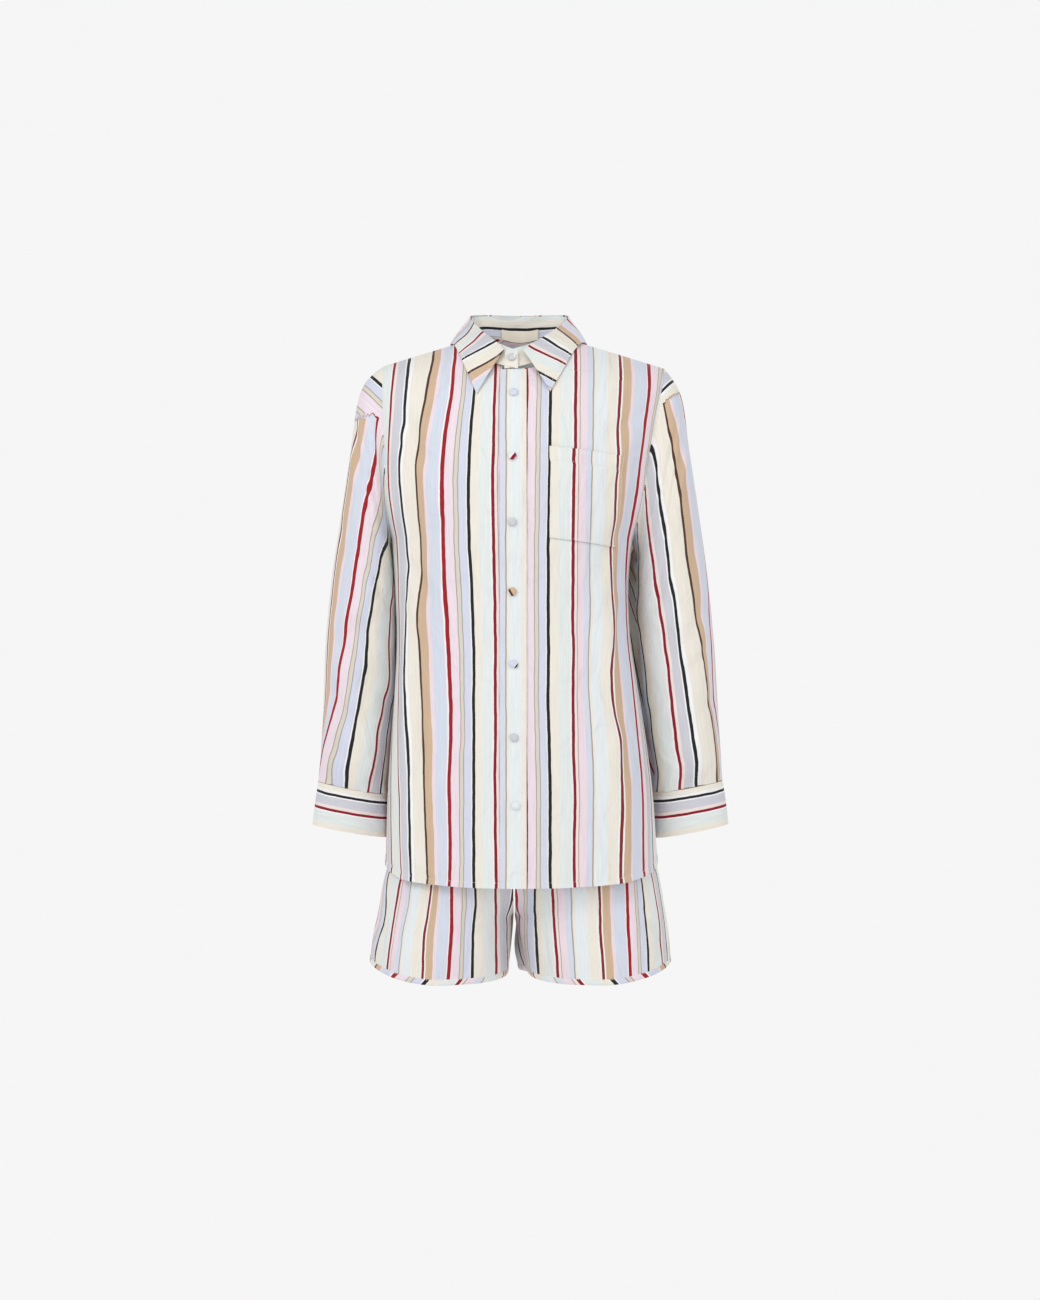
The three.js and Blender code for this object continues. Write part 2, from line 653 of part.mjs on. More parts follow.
// Strip on the front, between two distances from the centre, lying on the left front
function makePlacket() {
  const rows = shirtFrontLevels.filter((level) => level >= frontNeckLevel - 0.01);
  rows[0] += 2;
  const grid = rows.map((level) => [0, 0.35, 0.7, 1].map((t) => {
    const x = mix(placket.left, placket.right, t);
    const side = x < 0 ? -1 : 1;
    return bodyCell(side, 'front', level, (s) => s.turnAt(Math.abs(x)));
  }));
  return wall('shirt_placket', stripedCotton, lifted(grid, cloth + layGap), placket.thick);
}

function makePocket() {
  const steps = 6;
  const grid = Array.from({ length: steps + 1 }, (_, i) => Array.from({ length: steps + 1 }, (__, j) => {
    const u = j / steps;
    const v = i / steps;
    const distance = mix(pocket.inner, pocket.outer, u);
    const z = mix(mix(pocket.topInner, pocket.topOuter, u), mix(pocket.lowInner, pocket.lowOuter, u), v);
    const level = z > bustZ ? -ridgeHeight * Math.asin((z - bustZ) / ridgeHeight) : bustZ - z;
    return bodyCell(sides.right, 'front', level, (s) => s.turnAt(distance));
  }));
  return wall('shirt_pocket', stripedCotton, lifted(grid, cloth + layGap + 0.15), cloth);
}

// Roll line and outer edge of the collar at a share from the front of a leaf to the centre back
function collarRoll(side, at) {
  const shift = buttonLineX * (1 - at) ** 2;
  const column = (name) => read(collarLine, 'at', name, at);
  return new THREE.Vector3(side * column('rollX') + shift, column('rollY'), column('rollZ'));
}

function collarEdge(side, at) {
  const shift = buttonLineX * (1 - at) ** 2;
  const x = side * read(collarLine, 'at', 'edgeX', at) + shift;
  const y = read(collarLine, 'at', 'edgeY', at);
  const cell = bodyOver(x || 1e-3, y, y < 0 ? 'front' : 'back');
  return cell.point.addScaledVector(cell.out, cloth + layGap + 0.6);
}

// Neck seam in space at the same share, just above the cut edge of the body
function neckSeam(side, at) {
  const turn = Math.PI * at;
  const shift = buttonLineX * (1 - at) ** 2;
  const x = side * neck.halfWidth * Math.sin(turn) + shift;
  const y = neck.middleY - neck.halfDepth * Math.cos(turn);
  const cell = bodyOver(x || 1e-3, y, y < 0 ? 'front' : 'back');
  const shoulderLift = 0.7 * Math.exp(-(((at - 0.56) / 0.14) ** 2));
  return cell.point.addScaledVector(cell.out, cloth + layGap + shoulderLift);
}

// Shares round the collar, with the side of each: one front end, round the back, to the other
function collarPath(steps) {
  return Array.from({ length: steps + 1 }, (_, j) => {
    const t = 2 * j / steps - 1;
    return { side: t < 0 ? -1 : 1, at: 1 - Math.abs(t) };
  });
}

// A point of the stand, whose two ends lap at the front, the wearer's right over the left
function standPoint(side, at, v) {
  const p = neckSeam(side, at).lerp(collarRoll(side, at), v);
  const ends = Math.max(0, 1 - at / 0.22) ** 2;
  const reach = side < 0 ? standOverlap.over : standOverlap.under;
  p.x -= side * ends * (reach + Math.abs(p.x - buttonLineX));
  p.y -= (side < 0 ? standOverlap.step : 0) * ease(1 - at / 0.3);
  return p;
}

function makeStand() {
  const path = collarPath(count.collarColumns);
  const rows = [0, 0.5, 1];
  const points = rows.map((v) => path.map(({ side, at }) => standPoint(side, at, v)));
  return wall('collar_stand', stripedCotton, facingOut(withDirections(points, false)), foldedCloth);
}

function makeFall() {
  const path = collarPath(count.collarColumns);
  const steps = count.collarRows;
  const points = [];
  for (let i = 0; i <= steps; i += 1) {
    const v = i / steps;
    points.push(path.map(({ side, at }) => {
      const roll = collarRoll(side, at);
      const edge = collarEdge(side, at);
      const away = new THREE.Vector3(roll.x - buttonLineX * (1 - at), roll.y, 0).normalize();
      const clearance = foldedCloth + seamGap + rollSpace.all + rollSpace.front * ease(1 - at / 0.3);
      const start = roll.clone().addScaledVector(away, clearance);
      start.z += rollSpace.above;
      const p = start.lerp(edge, v);
      const bulge = collarBulge * Math.sin(Math.PI * v) * (0.35 + 0.65 * ease(at / 0.3));
      return p.addScaledVector(away, bulge * 0.7).add(new THREE.Vector3(0, 0, bulge * 0.7));
    }));
  }
  return wall('collar_fall', stripedCotton, facingOut(withDirections(points, false)), cloth);
}

// Blank label inside the back of the stand
function makeLabel() {
  const steps = 4;
  const grid = [label.low, label.high].map((v) => Array.from({ length: steps + 1 }, (_, j) => {
    const share = 2 * j / steps - 1;
    const at = 1 - Math.abs(share) * 0.115;
    const side = share < 0 ? -1 : 1;
    const p = neckSeam(side, at).lerp(collarRoll(side, at), v);
    return p.setX(share * label.halfWidth);
  }));
  const cells = facingOut(withDirections(grid, false));
  cells.forEach((row) => row.forEach((cell) => cell.out.set(0, -1, 0)));
  return wall('neck_label', plainLabel, lifted(cells, layGap + 0.2), label.thick);
}

// Domed covered buttons on the placket, and one on the stand
function makeButton(name, foot, out) {
  const profile = [new THREE.Vector2(0, 0), new THREE.Vector2(button.radius - 0.5, 0)];
  const arcs = 3;
  for (let k = 0; k <= arcs; k += 1) {
    const turn = Math.PI / 2 * k / arcs;
    const r = k === arcs ? 0 : button.radius * Math.cos(turn);
    profile.push(new THREE.Vector2(r, button.rim + (button.dome - button.rim) * Math.sin(turn)));
  }
  const mesh = new THREE.Mesh(new THREE.LatheGeometry(profile, button.sides), coveredButton);
  mesh.name = name;
  mesh.position.copy(foot);
  mesh.quaternion.setFromUnitVectors(new THREE.Vector3(0, 1, 0), out);
  return mesh;
}

function makeButtons() {
  const made = buttonPlaces.map(({ z, x }, k) => {
    const level = z > bustZ ? -ridgeHeight * Math.asin((z - bustZ) / ridgeHeight) : bustZ - z;
    const cell = bodyCell(sides.left, 'front', level, (s) => s.turnAt(-x));
    const height = cloth + layGap + placket.thick + 0.45;
    return makeButton(`button_${k + 1}`, cell.point.addScaledVector(cell.out, height), cell.out);
  });
  const at = 0.05;
  const v = 0.5;
  const across = standPoint(-1, at + 0.02, v).sub(standPoint(-1, at - 0.02, v));
  const out = across.cross(standPoint(-1, at, v + 0.1).sub(standPoint(-1, at, v - 0.1))).normalize();
  if (out.y > 0) out.negate();
  const foot = standPoint(-1, at, v).addScaledVector(out, foldedCloth + 0.6);
  return [...made, makeButton('button_collar', foot, out)];
}

// Shorts: hip rings above the crotch that part into two legs below it
function shortsShare(z, turn) {
  const t = Math.min(1, Math.max(0, (riseStartZ - z) / (riseStartZ - crotchZ)));
  const parted = ease((legFormZ.start - z) / (legFormZ.start - legFormZ.end));
  return mix(parted, 1 - Math.sqrt(1 - t * t), turn ** 4);
}

// Turn 0 is the side seam and 1 the centre seam or, below the crotch, the inside leg
function shortsPoint(side, half, z, turn) {
  const power = 2 / shortsRoundness;
  const wide = read(shortsSections, 'z', side < 0 ? 'left' : 'right', z);
  const deep = read(shortsSections, 'z', half, z);
  const inside = side * (read(shortsSections, 'z', side < 0 ? 'innerLeft' : 'innerRight', z) + cloth);
  const opened = Math.min(1, Math.max(0, 1.6 * (riseStartZ - z) / (riseStartZ - crotchZ)));
  const parting = seamGap / 2 + (cloth + 0.1) * opened;
  const centre = z > crotchZ ? shortsCentreX + side * parting : inside;
  const facing = half === 'front' ? -1 : 1;
  const quarter = turn * Math.PI / 2;
  const hipX = mix(centre, side * wide, signedPower(Math.cos(quarter), power));
  const hipY = deep * signedPower(Math.sin(quarter), power);
  const middle = (side * wide + centre) / 2;
  const legHalf = Math.abs(side * wide - centre) / 2;
  const around = Math.PI * turn;
  const legX = middle + side * legHalf * signedPower(Math.cos(around), power);
  const legY = deep * signedPower(Math.sin(around), power);
  const share = shortsShare(z, turn);
  let fold = 0;
  for (const row of shortsFolds) {
    if (row.side !== side || row.half !== half || z > row.top) continue;
    const t = (z - row.top) / (row.bottom - row.top);
    fold += row.height * ease(t / 0.7) * Math.exp(-(((turn - row.turn) / row.width) ** 2));
  }
  const y = mix(hipY, legY, share) + fold * Math.sin(around);
  const outer = Math.max(0, Math.cos(around)) ** 1.5;
  const rise = legHemRise * outer * ease((crotchZ + 20 - z) / (crotchZ + 20 - legHemZ));
  return new THREE.Vector3(mix(hipX, legX, share), facing * y, z + rise);
}

function shortsGrid(side, half, heights, columns, around) {
  const turns = Array.from({ length: columns + 1 }, (_, j) => j / columns);
  const cell = (z, turn) => {
    const t = Math.min(0.999, Math.max(0.002, turn));
    const across = shortsPoint(side, half, z, t + 0.001).sub(shortsPoint(side, half, z, t - 0.001));
    const down = shortsPoint(side, half, z - 1, t).sub(shortsPoint(side, half, z + 1, t));
    const out = across.cross(down).normalize();
    if (side * (half === 'front' ? 1 : -1) < 0) out.negate();
    const point = shortsPoint(side, half, z, turn);
    const seam = around ? 0 : seamGap / 2 * (turn === 0 || (turn === 1 && z < crotchZ + 1) ? 1 : 0);
    point.y += seam * (half === 'front' ? -1 : 1);
    return { point, out };
  };
  return heights.map((z) => turns.map((turn) => cell(z, turn)));
}

const shortsUpperZ = shortsTopZ - waistbandDepth - seamGap;
const shortsLowerZ = legHemZ + bindingDepth + seamGap;
const shortsHeights = [
  ...levels(shortsUpperZ, riseStartZ, count.hipRows),
  ...Array.from({ length: count.riseRows }, (_, k) => (
    mix(riseStartZ, crotchZ, Math.sin(Math.PI / 2 * k / count.riseRows)))),
  ...levels(crotchZ, shortsLowerZ, count.legRows),
  shortsLowerZ,
];

function makeShorts() {
  const made = [];
  for (const [name, wearer] of [['left', 'right'], ['right', 'left']]) {
    for (const half of ['front', 'back']) {
      const grid = shortsGrid(sides[name], half, shortsHeights, count.shortsColumns, false);
      made.push(wall(`shorts_${half}_${wearer}`, stripedCotton, grid, cloth));
    }
  }
  return made;
}

function makeBinding(name, wearer) {
  const side = sides[name];
  const heights = [legHemZ + bindingDepth, legHemZ];
  const front = shortsGrid(side, 'front', heights, count.shortsColumns, true);
  const back = shortsGrid(side, 'back', heights, count.shortsColumns, true);
  const grid = heights.map((_, i) => [...front[i], ...back[i].slice(1, -1).reverse()]);
  return wall(`hem_binding_${wearer}`, stripedCotton, lifted(grid, -0.3), bindingThick, true);
}

function makeWaistband() {
  const heights = [shortsTopZ, shortsTopZ - waistbandDepth];
  const quarter = (side, half, z) => shortsGrid(side, half, [z], count.shortsColumns, true)[0];
  const grid = heights.map((z) => [
    ...quarter(-1, 'front', z).slice(0, -1),
    ...quarter(1, 'front', z).slice(1).reverse(),
    ...quarter(1, 'back', z).slice(0, -1),
    ...quarter(-1, 'back', z).slice(1).reverse(),
  ]);
  return wall('shorts_waistband', stripedCotton, grid, foldedCloth, true);
}

const set = new THREE.Group();
set.add(...makeFronts(), makeBack(), makeYoke());
set.add(makeSleeve('left', 'right'), makeSleeve('right', 'left'));
set.add(makeCuff('left', 'right'), makeCuff('right', 'left'));
set.add(makePlacket(), makePocket(), makeStand(), makeFall(), makeLabel(), ...makeButtons());
set.add(...makeShorts(), makeBinding('left', 'right'), makeBinding('right', 'left'), makeWaistband());

export default set;
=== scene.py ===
"""A striped cotton pyjama set, a shirt over shorts, filled out with no wearer. Tables are in millimetres."""
import math

import bpy
import numpy as np
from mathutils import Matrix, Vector


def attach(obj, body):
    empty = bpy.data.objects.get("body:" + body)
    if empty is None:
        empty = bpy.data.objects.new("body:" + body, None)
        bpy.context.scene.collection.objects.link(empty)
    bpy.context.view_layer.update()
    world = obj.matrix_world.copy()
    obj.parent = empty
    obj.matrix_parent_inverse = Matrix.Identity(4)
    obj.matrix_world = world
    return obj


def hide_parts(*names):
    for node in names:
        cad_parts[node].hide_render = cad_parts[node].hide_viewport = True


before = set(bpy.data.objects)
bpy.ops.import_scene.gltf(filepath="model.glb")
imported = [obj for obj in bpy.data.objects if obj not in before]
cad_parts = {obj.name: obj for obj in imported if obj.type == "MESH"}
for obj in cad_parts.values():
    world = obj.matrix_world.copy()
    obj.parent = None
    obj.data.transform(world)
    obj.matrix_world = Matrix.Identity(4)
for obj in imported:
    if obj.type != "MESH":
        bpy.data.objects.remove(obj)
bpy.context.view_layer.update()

MM = 0.001

# Sizes that the shirt and shorts share with their solids
CLOTH = 1.6
FOLDED_CLOTH = 2.2
SEAM_GAP = 0.4
LAY_GAP = 0.6
RIDGE_Z = 8
BUST_Z = -190
UNDERARM_Z = -262
SHIRT_HEM_Z = -719
RIDGE_HEIGHT = RIDGE_Z - BUST_Z
BUST_DEPTH = {"front": 138, "back": 116}
BODY_POWER = 2 / 2.3
ARMHOLE_END = 0.42
NECK_HALF_WIDTH = 70
NECK_MIDDLE_Y = -16
NECK_HALF_DEPTH = 76
NECK_BACK_RISE = 88
SHOULDER_SLOPE = 0.3
FRONT_EDGE_X = -24
BUTTON_LINE_X = -8.5
HEM_RISE = 26
HEM_STITCH_UP = 7
HEM_RISE_TOP = -560
BODY = {
    "z": [8, -30, -75, -118, -190, -262, -320, -390, -450, -520, -600, -719],
    "left": [183, 184, 183, 181, 178, 173, 169, 166, 168, 173, 178, 181],
    "right": [194, 191, 183, 176, 165, 152, 146, 148, 157, 168, 178, 185],
    "front": [138, 138, 138, 138, 138, 136, 133, 131, 132, 134, 137, 141],
    "back": [116, 116, 116, 116, 116, 113, 109, 107, 110, 117, 125, 132],
}
FOLD_COLUMNS = ("side", "half", "top", "bottom", "start", "end", "width", "height")
BODY_FOLDS = [
    (-1, "front", -60, -420, 150, 138, 13, -5),
    (-1, "front", -330, -719, 172, 160, 15, 5),
    (-1, "front", -420, -719, 92, 98, 17, -3),
    (1, "front", -130, -470, 172, 150, 14, -5),
    (1, "front", -300, -719, 118, 140, 16, 5),
    (1, "front", -430, -719, 72, 80, 15, -3),
    (-1, "back", -90, -719, 60, 74, 22, 7),
    (-1, "back", -230, -719, 140, 136, 20, -2.5),
    (1, "back", -90, -719, 48, 66, 20, 6),
    (1, "back", -210, -719, 120, 146, 20, -3),
]
SLEEVE = {
    -1: {
        "at": [0, 0.05, 0.12, 0.21, 0.33, 0.46, 0.6, 0.74, 0.9, 1],
        "out_x": [184, 203, 218, 229, 243, 255, 264, 267, 271, 274],
        "out_z": [-25, -40, -69, -140, -231, -310, -400, -485, -556, -589],
        "in_x": [173, 174, 174, 171, 168, 167, 169, 175, 182, 184.5],
        "in_z": [-262, -272, -281, -302, -338, -386, -448, -515, -574, -607],
        "y": [0, 0, 1, 4, 8, 11, 13, 14, 14, 14],
        "deep": [56, 60, 66, 70, 70, 66, 61, 55, 49, 34],
    },
    1: {
        "at": [0, 0.05, 0.12, 0.21, 0.33, 0.46, 0.6, 0.74, 0.9, 1],
        "out_x": [194, 206, 219, 229, 243, 256, 264, 269, 273, 275],
        "out_z": [-28, -43, -70, -140, -231, -325, -410, -490, -556, -588],
        "in_x": [152, 157, 162, 163, 163, 165, 170, 178, 187, 189],
        "in_z": [-262, -274, -288, -312, -350, -400, -458, -520, -574, -604],
        "y": [0, 0, 1, 4, 8, 11, 13, 14, 14, 14],
        "deep": [56, 60, 66, 70, 70, 66, 61, 55, 49, 34],
    },
}
# How far the back of a sleeve folds in behind the gap that it leaves beside the body
SLEEVE_TUCK = {-1: 12, 1: 21}
CUFF_END = {
    -1: {"out_x": 282, "out_z": -649, "in_x": 183.5, "in_z": -666, "y": 14, "deep": 28},
    1: {"out_x": 283, "out_z": -648, "in_x": 188.5, "in_z": -667, "y": 14, "deep": 28},
}
# Folds across the front of the arm: place along it, turn round it, length, width, lean and height
SLEEVE_FOLDS = [
    (0.13, 0.2, 0.13, 0.03, 0.02, -5),
    (0.36, 0.3, 0.14, 0.035, 0.05, -4),
    (0.5, 0.22, 0.12, 0.03, -0.06, 3),
    (0.64, 0.3, 0.15, 0.035, 0.05, -4),
    (0.42, 0.75, 0.15, 0.035, -0.05, -4),
    (0.7, 0.72, 0.14, 0.03, 0.05, 3),
]
PLACKET = {"left": -26, "right": 8.5, "thick": 1.6}
POCKET = {"inner": 38, "outer": 141, "top": (-147, -157), "low": (-265, -276)}
POCKET_WIDTH = 103
POCKET_HEIGHT = 118
POCKET_HEM = 17
BUTTON = {"radius": 5.5, "rim": 2.0, "dome": 4.6}
COLLAR = {
    "at": [0, 0.12, 0.26, 0.4, 0.54, 0.68, 0.82, 1],
    "roll_x": [11.5, 20, 34, 48, 58, 63.5, 52, 0],
    "roll_y": [-84, -72, -50, -24, 0, 24, 48, 60],
    "roll_z": [-17, -8, 5, 19, 33, 45, 51, 52],
    "edge_x": [48, 62, 75, 85, 91, 83, 54, 0],
    "edge_y": [-111, -92, -64, -30, 4, 40, 66, 76],
}
COLLAR_BULGE = 5
COLLAR_FALL_DEPTH = 60
CROTCH_Z = -768
RISE_START_Z = -650
LEG_FORM_Z = (-706, -815)
SHORTS_TOP_Z = -482
WAISTBAND_DEPTH = 32
LEG_HEM_Z = -848
LEG_HEM_RISE = 17
SHORTS_POWER = 2 / 2.15
SHORTS_CENTRE_X = -8
BINDING_DEPTH = 6.5
BINDING_TOP_Z = LEG_HEM_Z + BINDING_DEPTH + 0.2
SHORTS = {
    "z": [-482, -516, -570, -640, -690, -724, -768, -800, -848],
    "left": [126, 136, 154, 166, 175, 184, 191, 197, 202],
    "right": [128, 138, 156, 169, 181.1, 189, 196, 200, 203],
    "front": [94, 101, 111, 118, 121, 121, 119, 117, 114],
    "back": [90, 97, 108, 116, 121, 123, 121, 118, 114],
    "inner_left": [8.3, 8.3, 8.3, 8.3, 8.3, 8.3, 8.3, 10.5, 16],
    "inner_right": [-7.7, -7.7, -7.7, -7.7, -7.7, -7.7, -7.7, -1, 11],
}
# The back of the left leg shows behind its inside seam
LEG_TUCK = 16
# Folds of a leg: side, half, turn round the leg, top, width and height
SHORTS_FOLDS = [
    (-1, "front", 0.3, -660, 0.07, 5),
    (-1, "front", 0.62, -660, 0.07, -4),
    (1, "front", 0.24, -660, 0.07, 5),
    (1, "front", 0.55, -660, 0.08, -4),
    (-1, "back", 0.4, -712, 0.09, 5),
    (1, "back", 0.45, -712, 0.09, 5),
]

# Stripe repeat of the poplin: the place in the repeat where each band of yarn starts, and its colour
REPEAT = 298.7
BANDS = [
    (0, "crimson"), (3.1, "blush"), (7.5, "dove"), (19.1, "white"), (20.8, "black"), (24.3, "white"),
    (27.8, "cream"), (44.1, "brown"), (47.2, "tan"), (56.6, "pink"), (61.2, "sky"), (74.9, "white"),
    (76.6, "red"), (81.1, "lilac"), (92, "taupe"), (93.3, "beige"), (97.2, "taupe"), (98.5, "periwinkle"),
    (107.2, "white"), (108.5, "black"), (112.1, "cream"), (122.7, "mint"), (137.8, "white"), (139.8, "crimson"),
    (144, "blush"), (147.2, "taupe"), (148.6, "pink"), (158.1, "sky"), (165.1, "taupe"), (166.4, "cream"),
    (169.3, "ice"), (185, "cream"), (198.7, "white"), (200.3, "russet"), (203.8, "white"), (205.9, "tan"),
    (215.1, "pink"), (219, "sky"), (233.4, "white"), (235.1, "red"), (239.6, "lilac"), (250.5, "taupe"),
    (251.8, "beige"), (255.7, "taupe"), (257, "periwinkle"), (265.7, "white"), (267, "black"),
    (270.6, "cream"), (281.3, "mint"), (296.7, "white"),
]
YARN = {
    "crimson": "8c0626", "red": "a40517", "russet": "84231f", "brown": "4c2f29", "black": "14151b",
    "tan": "d2b597", "cream": "efe9dd", "beige": "dcd5c6", "blush": "f3e4de", "pink": "efdce4",
    "lilac": "eedfe8", "sky": "d6ddea", "periwinkle": "d6daeb", "dove": "d0d1d9", "taupe": "aba099",
    "mint": "e5ebe9", "ice": "e8eef0", "white": "f6f6f6",
}


def mix(a, b, t):
    return a + (b - a) * t


def ease(t):
    c = np.clip(t, 0, 1)
    return c * c * (3 - 2 * c)


def powered(value, power):
    return np.sign(value) * np.abs(value) ** power


def unit(vectors):
    return vectors / np.maximum(np.linalg.norm(vectors, axis=-1, keepdims=True), 1e-9)


def smooth(table, key, column, at):
    """Reads one column of a table along a soft curve, by a key column that runs steadily up or down"""
    keys = np.array(table[key], float)
    values = np.array(table[column], float)
    down = -1 if keys[0] > keys[-1] else 1
    at = np.asarray(at, float)
    k = np.clip(np.searchsorted(keys * down, at * down) - 1, 0, len(keys) - 2)
    before = np.maximum(0, k - 1)
    after = np.minimum(len(keys) - 1, k + 2)
    span = keys[k + 1] - keys[k]
    t = np.clip((at - keys[k]) / span, 0, 1)
    slope_a = (values[k + 1] - values[before]) / (keys[k + 1] - keys[before]) * span
    slope_b = (values[after] - values[k]) / (keys[after] - keys[k]) * span
    return ((2 * t**3 - 3 * t**2 + 1) * values[k] + (t**3 - 2 * t**2 + t) * slope_a
            + (3 * t**2 - 2 * t**3) * values[k + 1] + (t**3 - t**2) * slope_b)


def directions(grid, around, away):
    """Outward directions of a grid of points, on the side that away points to"""
    if around:
        across = np.roll(grid, -1, 1) - np.roll(grid, 1, 1)
    else:
        across = np.gradient(grid, axis=1)
    out = unit(np.cross(across, np.gradient(grid, axis=0)))
    turned = (out * away).sum() < 0
    return (-out if turned else out), turned


def closed(grid):
    return np.concatenate([grid, grid[:, :1]], 1)


def row_lengths(grid):
    return np.concatenate([np.zeros((len(grid), 1)),
                           np.cumsum(np.linalg.norm(np.diff(grid, axis=1), axis=2), 1)], 1)


def from_middle(grid):
    return grid - grid.mean(axis=1, keepdims=True)


def shell(name, grid, weave, lift, thick, around=False, away=None, weave_on=None):
    """A thin closed sheet from a grid of points, with the cloth's own coordinates as its UV"""
    rows, columns = grid.shape[:2]
    out, turned = directions(grid, around, from_middle(grid) if away is None else np.array(away, float))
    outer = grid + out * (lift + thick)
    layers = np.concatenate([outer.reshape(-1, 3), (grid + out * lift).reshape(-1, 3)])
    size = rows * columns
    i, j = np.meshgrid(np.arange(rows - 1), np.arange(columns if around else columns - 1), indexing="ij")
    i, j = i.ravel(), j.ravel()
    k = (j + 1) % columns
    corners = np.stack([i * columns + j, i * columns + k, (i + 1) * columns + k, (i + 1) * columns + j], -1)
    on = weave[:, 1:] if weave_on is None else weave_on
    places = np.stack([weave[i, j], on[i, j], on[i + 1, j], weave[i + 1, j]], 1)
    faces = [corners, corners[:, ::-1] + size]
    cloth = [places, places[:, ::-1]]
    rims = [(i == 0, 1, 0), (i == rows - 2, 3, 2)]
    if not around:
        rims += [(j == 0, 0, 3), (j == columns - 2, 2, 1)]
    for chosen, a, b in rims:
        p, q = corners[chosen, a], corners[chosen, b]
        faces.append(np.stack([p, q, q + size, p + size], -1))
        cloth.append(np.stack([places[chosen, m] for m in (a, b, b, a)], 1))
    faces = np.concatenate(faces)
    cloth = np.concatenate(cloth)
    if turned:
        faces = faces[:, ::-1]
        cloth = cloth[:, ::-1]
    piece = new_mesh(name, layers, faces, cloth)
    return piece, outer, out


def new_mesh(name, points, faces, cloth=None, smooth_angle=50):
    mesh = bpy.data.meshes.new(name)
    mesh.from_pydata((np.asarray(points) * MM).tolist(), [], [list(face) for face in faces])
    if cloth is not None:
        uv = mesh.uv_layers.new(name="cloth")
        uv.data.foreach_set("uv", (np.ascontiguousarray(cloth) * MM).ravel().astype(np.float32))
    mesh.polygons.foreach_set("use_smooth", [True] * len(mesh.polygons))
    mesh.set_sharp_from_angle(angle=math.radians(smooth_angle))
    piece = bpy.data.objects.new(name, mesh)
    bpy.context.scene.collection.objects.link(piece)
    return piece


def dress(piece, material, slot, *nodes):
    piece.data.materials.append(material)
    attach(piece, "root")
    if nodes:
        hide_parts(*nodes)
    return piece


def cloth_piece(name, node, grid, weave, lift, thick, **form):
    """A piece of the striped cloth in place of a solid, with its outer points and their directions"""
    piece, outer, outs = shell(name, grid, weave, lift, thick, **form)
    dress(piece, POPLIN, "striped_poplin", node)
    return outer, outs


def creases(table, across, down):
    """Height of soft creases, each from one place on the cloth to another, with its width and height"""
    height = np.zeros(np.broadcast(across, down).shape)
    for a0, d0, a1, d1, width, tall in table:
        run = np.array([a1 - a0, d1 - d0], float)
        length = np.hypot(*run)
        u, v = run / length
        t = ((across - a0) * u + (down - d0) * v) / length
        off = (across - a0) * -v + (down - d0) * u
        bend = off + 0.06 * length * np.sin(np.pi * np.clip(t, 0, 1))
        taper = ease((t + 0.12) / 0.35) * ease((1.12 - t) / 0.45)
        height = height + tall * taper * np.exp(-((bend / width) ** 2))
    return height


def ripple(along, wave, seed):
    """Uneven small puckers along a sewn line"""
    return (np.sin(along / wave * 2 * np.pi + seed) * 0.6 + np.sin(along / wave * 3.7 + seed * 2.3) * 0.4
            + 0.5 * np.sin(along / wave * 1.3 + seed * 5))


# Shirt body. A level is 0 at the bust, positive down the body and negative up to the shoulder ridge.
RIDGE_LEVEL = -RIDGE_HEIGHT * math.pi / 2
UNDERARM_LEVEL = BUST_Z - UNDERARM_Z
HEM_LEVEL = BUST_Z - SHIRT_HEM_Z
YOKE_LEVEL = -RIDGE_HEIGHT * math.asin((-62 - BUST_Z) / RIDGE_HEIGHT)


def neck_level(half):
    reach = NECK_HALF_DEPTH + (NECK_MIDDLE_Y if half == "back" else -NECK_MIDDLE_Y)
    return -RIDGE_HEIGHT * math.acos(reach / BUST_DEPTH[half])


def level_of(z):
    upper = -RIDGE_HEIGHT * np.arcsin(np.clip((z - BUST_Z) / RIDGE_HEIGHT, -1, 1))
    return np.where(z > BUST_Z, upper, BUST_Z - z)


def body_sizes(side, half, level):
    """Nominal height, full half width, depth and last turn of the body's section at a level"""
    zn = np.where(level < 0, BUST_Z + RIDGE_HEIGHT * np.sin(-level / RIDGE_HEIGHT), BUST_Z - level)
    wide = smooth(BODY, "z", "left" if side < 0 else "right", zn)
    deep = smooth(BODY, "z", half, zn) * np.where(level < 0, np.cos(level / RIDGE_HEIGHT), 1)
    cut = np.sqrt(np.clip(1 - (np.maximum(level, 0) / UNDERARM_LEVEL) ** 2, 0, 1))
    last = np.arccos((ARMHOLE_END * cut) ** (1 / BODY_POWER))
    return zn, wide / np.sin(last) ** BODY_POWER, deep, last


def body_form(side, half, level, turn):
    """A point of the body without its folds, from the turn of its section"""
    zn, half_width, deep, _ = body_sizes(side, half, level)
    x = half_width * powered(np.sin(turn), BODY_POWER)
    y = deep * powered(np.cos(turn), BODY_POWER)
    upright = np.sin(np.clip(-level, 0, None) / RIDGE_HEIGHT)
    outside = np.maximum(0, np.abs(x) - NECK_HALF_WIDTH)
    inside = np.maximum(0, 1 - (x / NECK_HALF_WIDTH) ** 2) ** 1.3
    rise = NECK_BACK_RISE * inside * upright**6 if half == "back" else 0
    shoulder = BUST_Z + RIDGE_HEIGHT * upright + rise - SHOULDER_SLOPE * outside * upright**2
    z = np.where(level < 0, shoulder, zn)
    facing = -1 if half == "front" else 1
    return np.stack(np.broadcast_arrays(side * x, facing * y, z), -1)


def section_arc(side, half, level):
    """Turns and distances along the section at one level, from the middle to the armhole or side seam"""
    _, half_width, deep, last = body_sizes(side, half, level)
    turns = np.linspace(0, 1, 241) * last
    x = half_width * np.sin(turns) ** BODY_POWER
    y = deep * np.cos(turns) ** BODY_POWER
    return turns, np.concatenate([[0], np.cumsum(np.hypot(np.diff(x), np.diff(y)))]), x, y


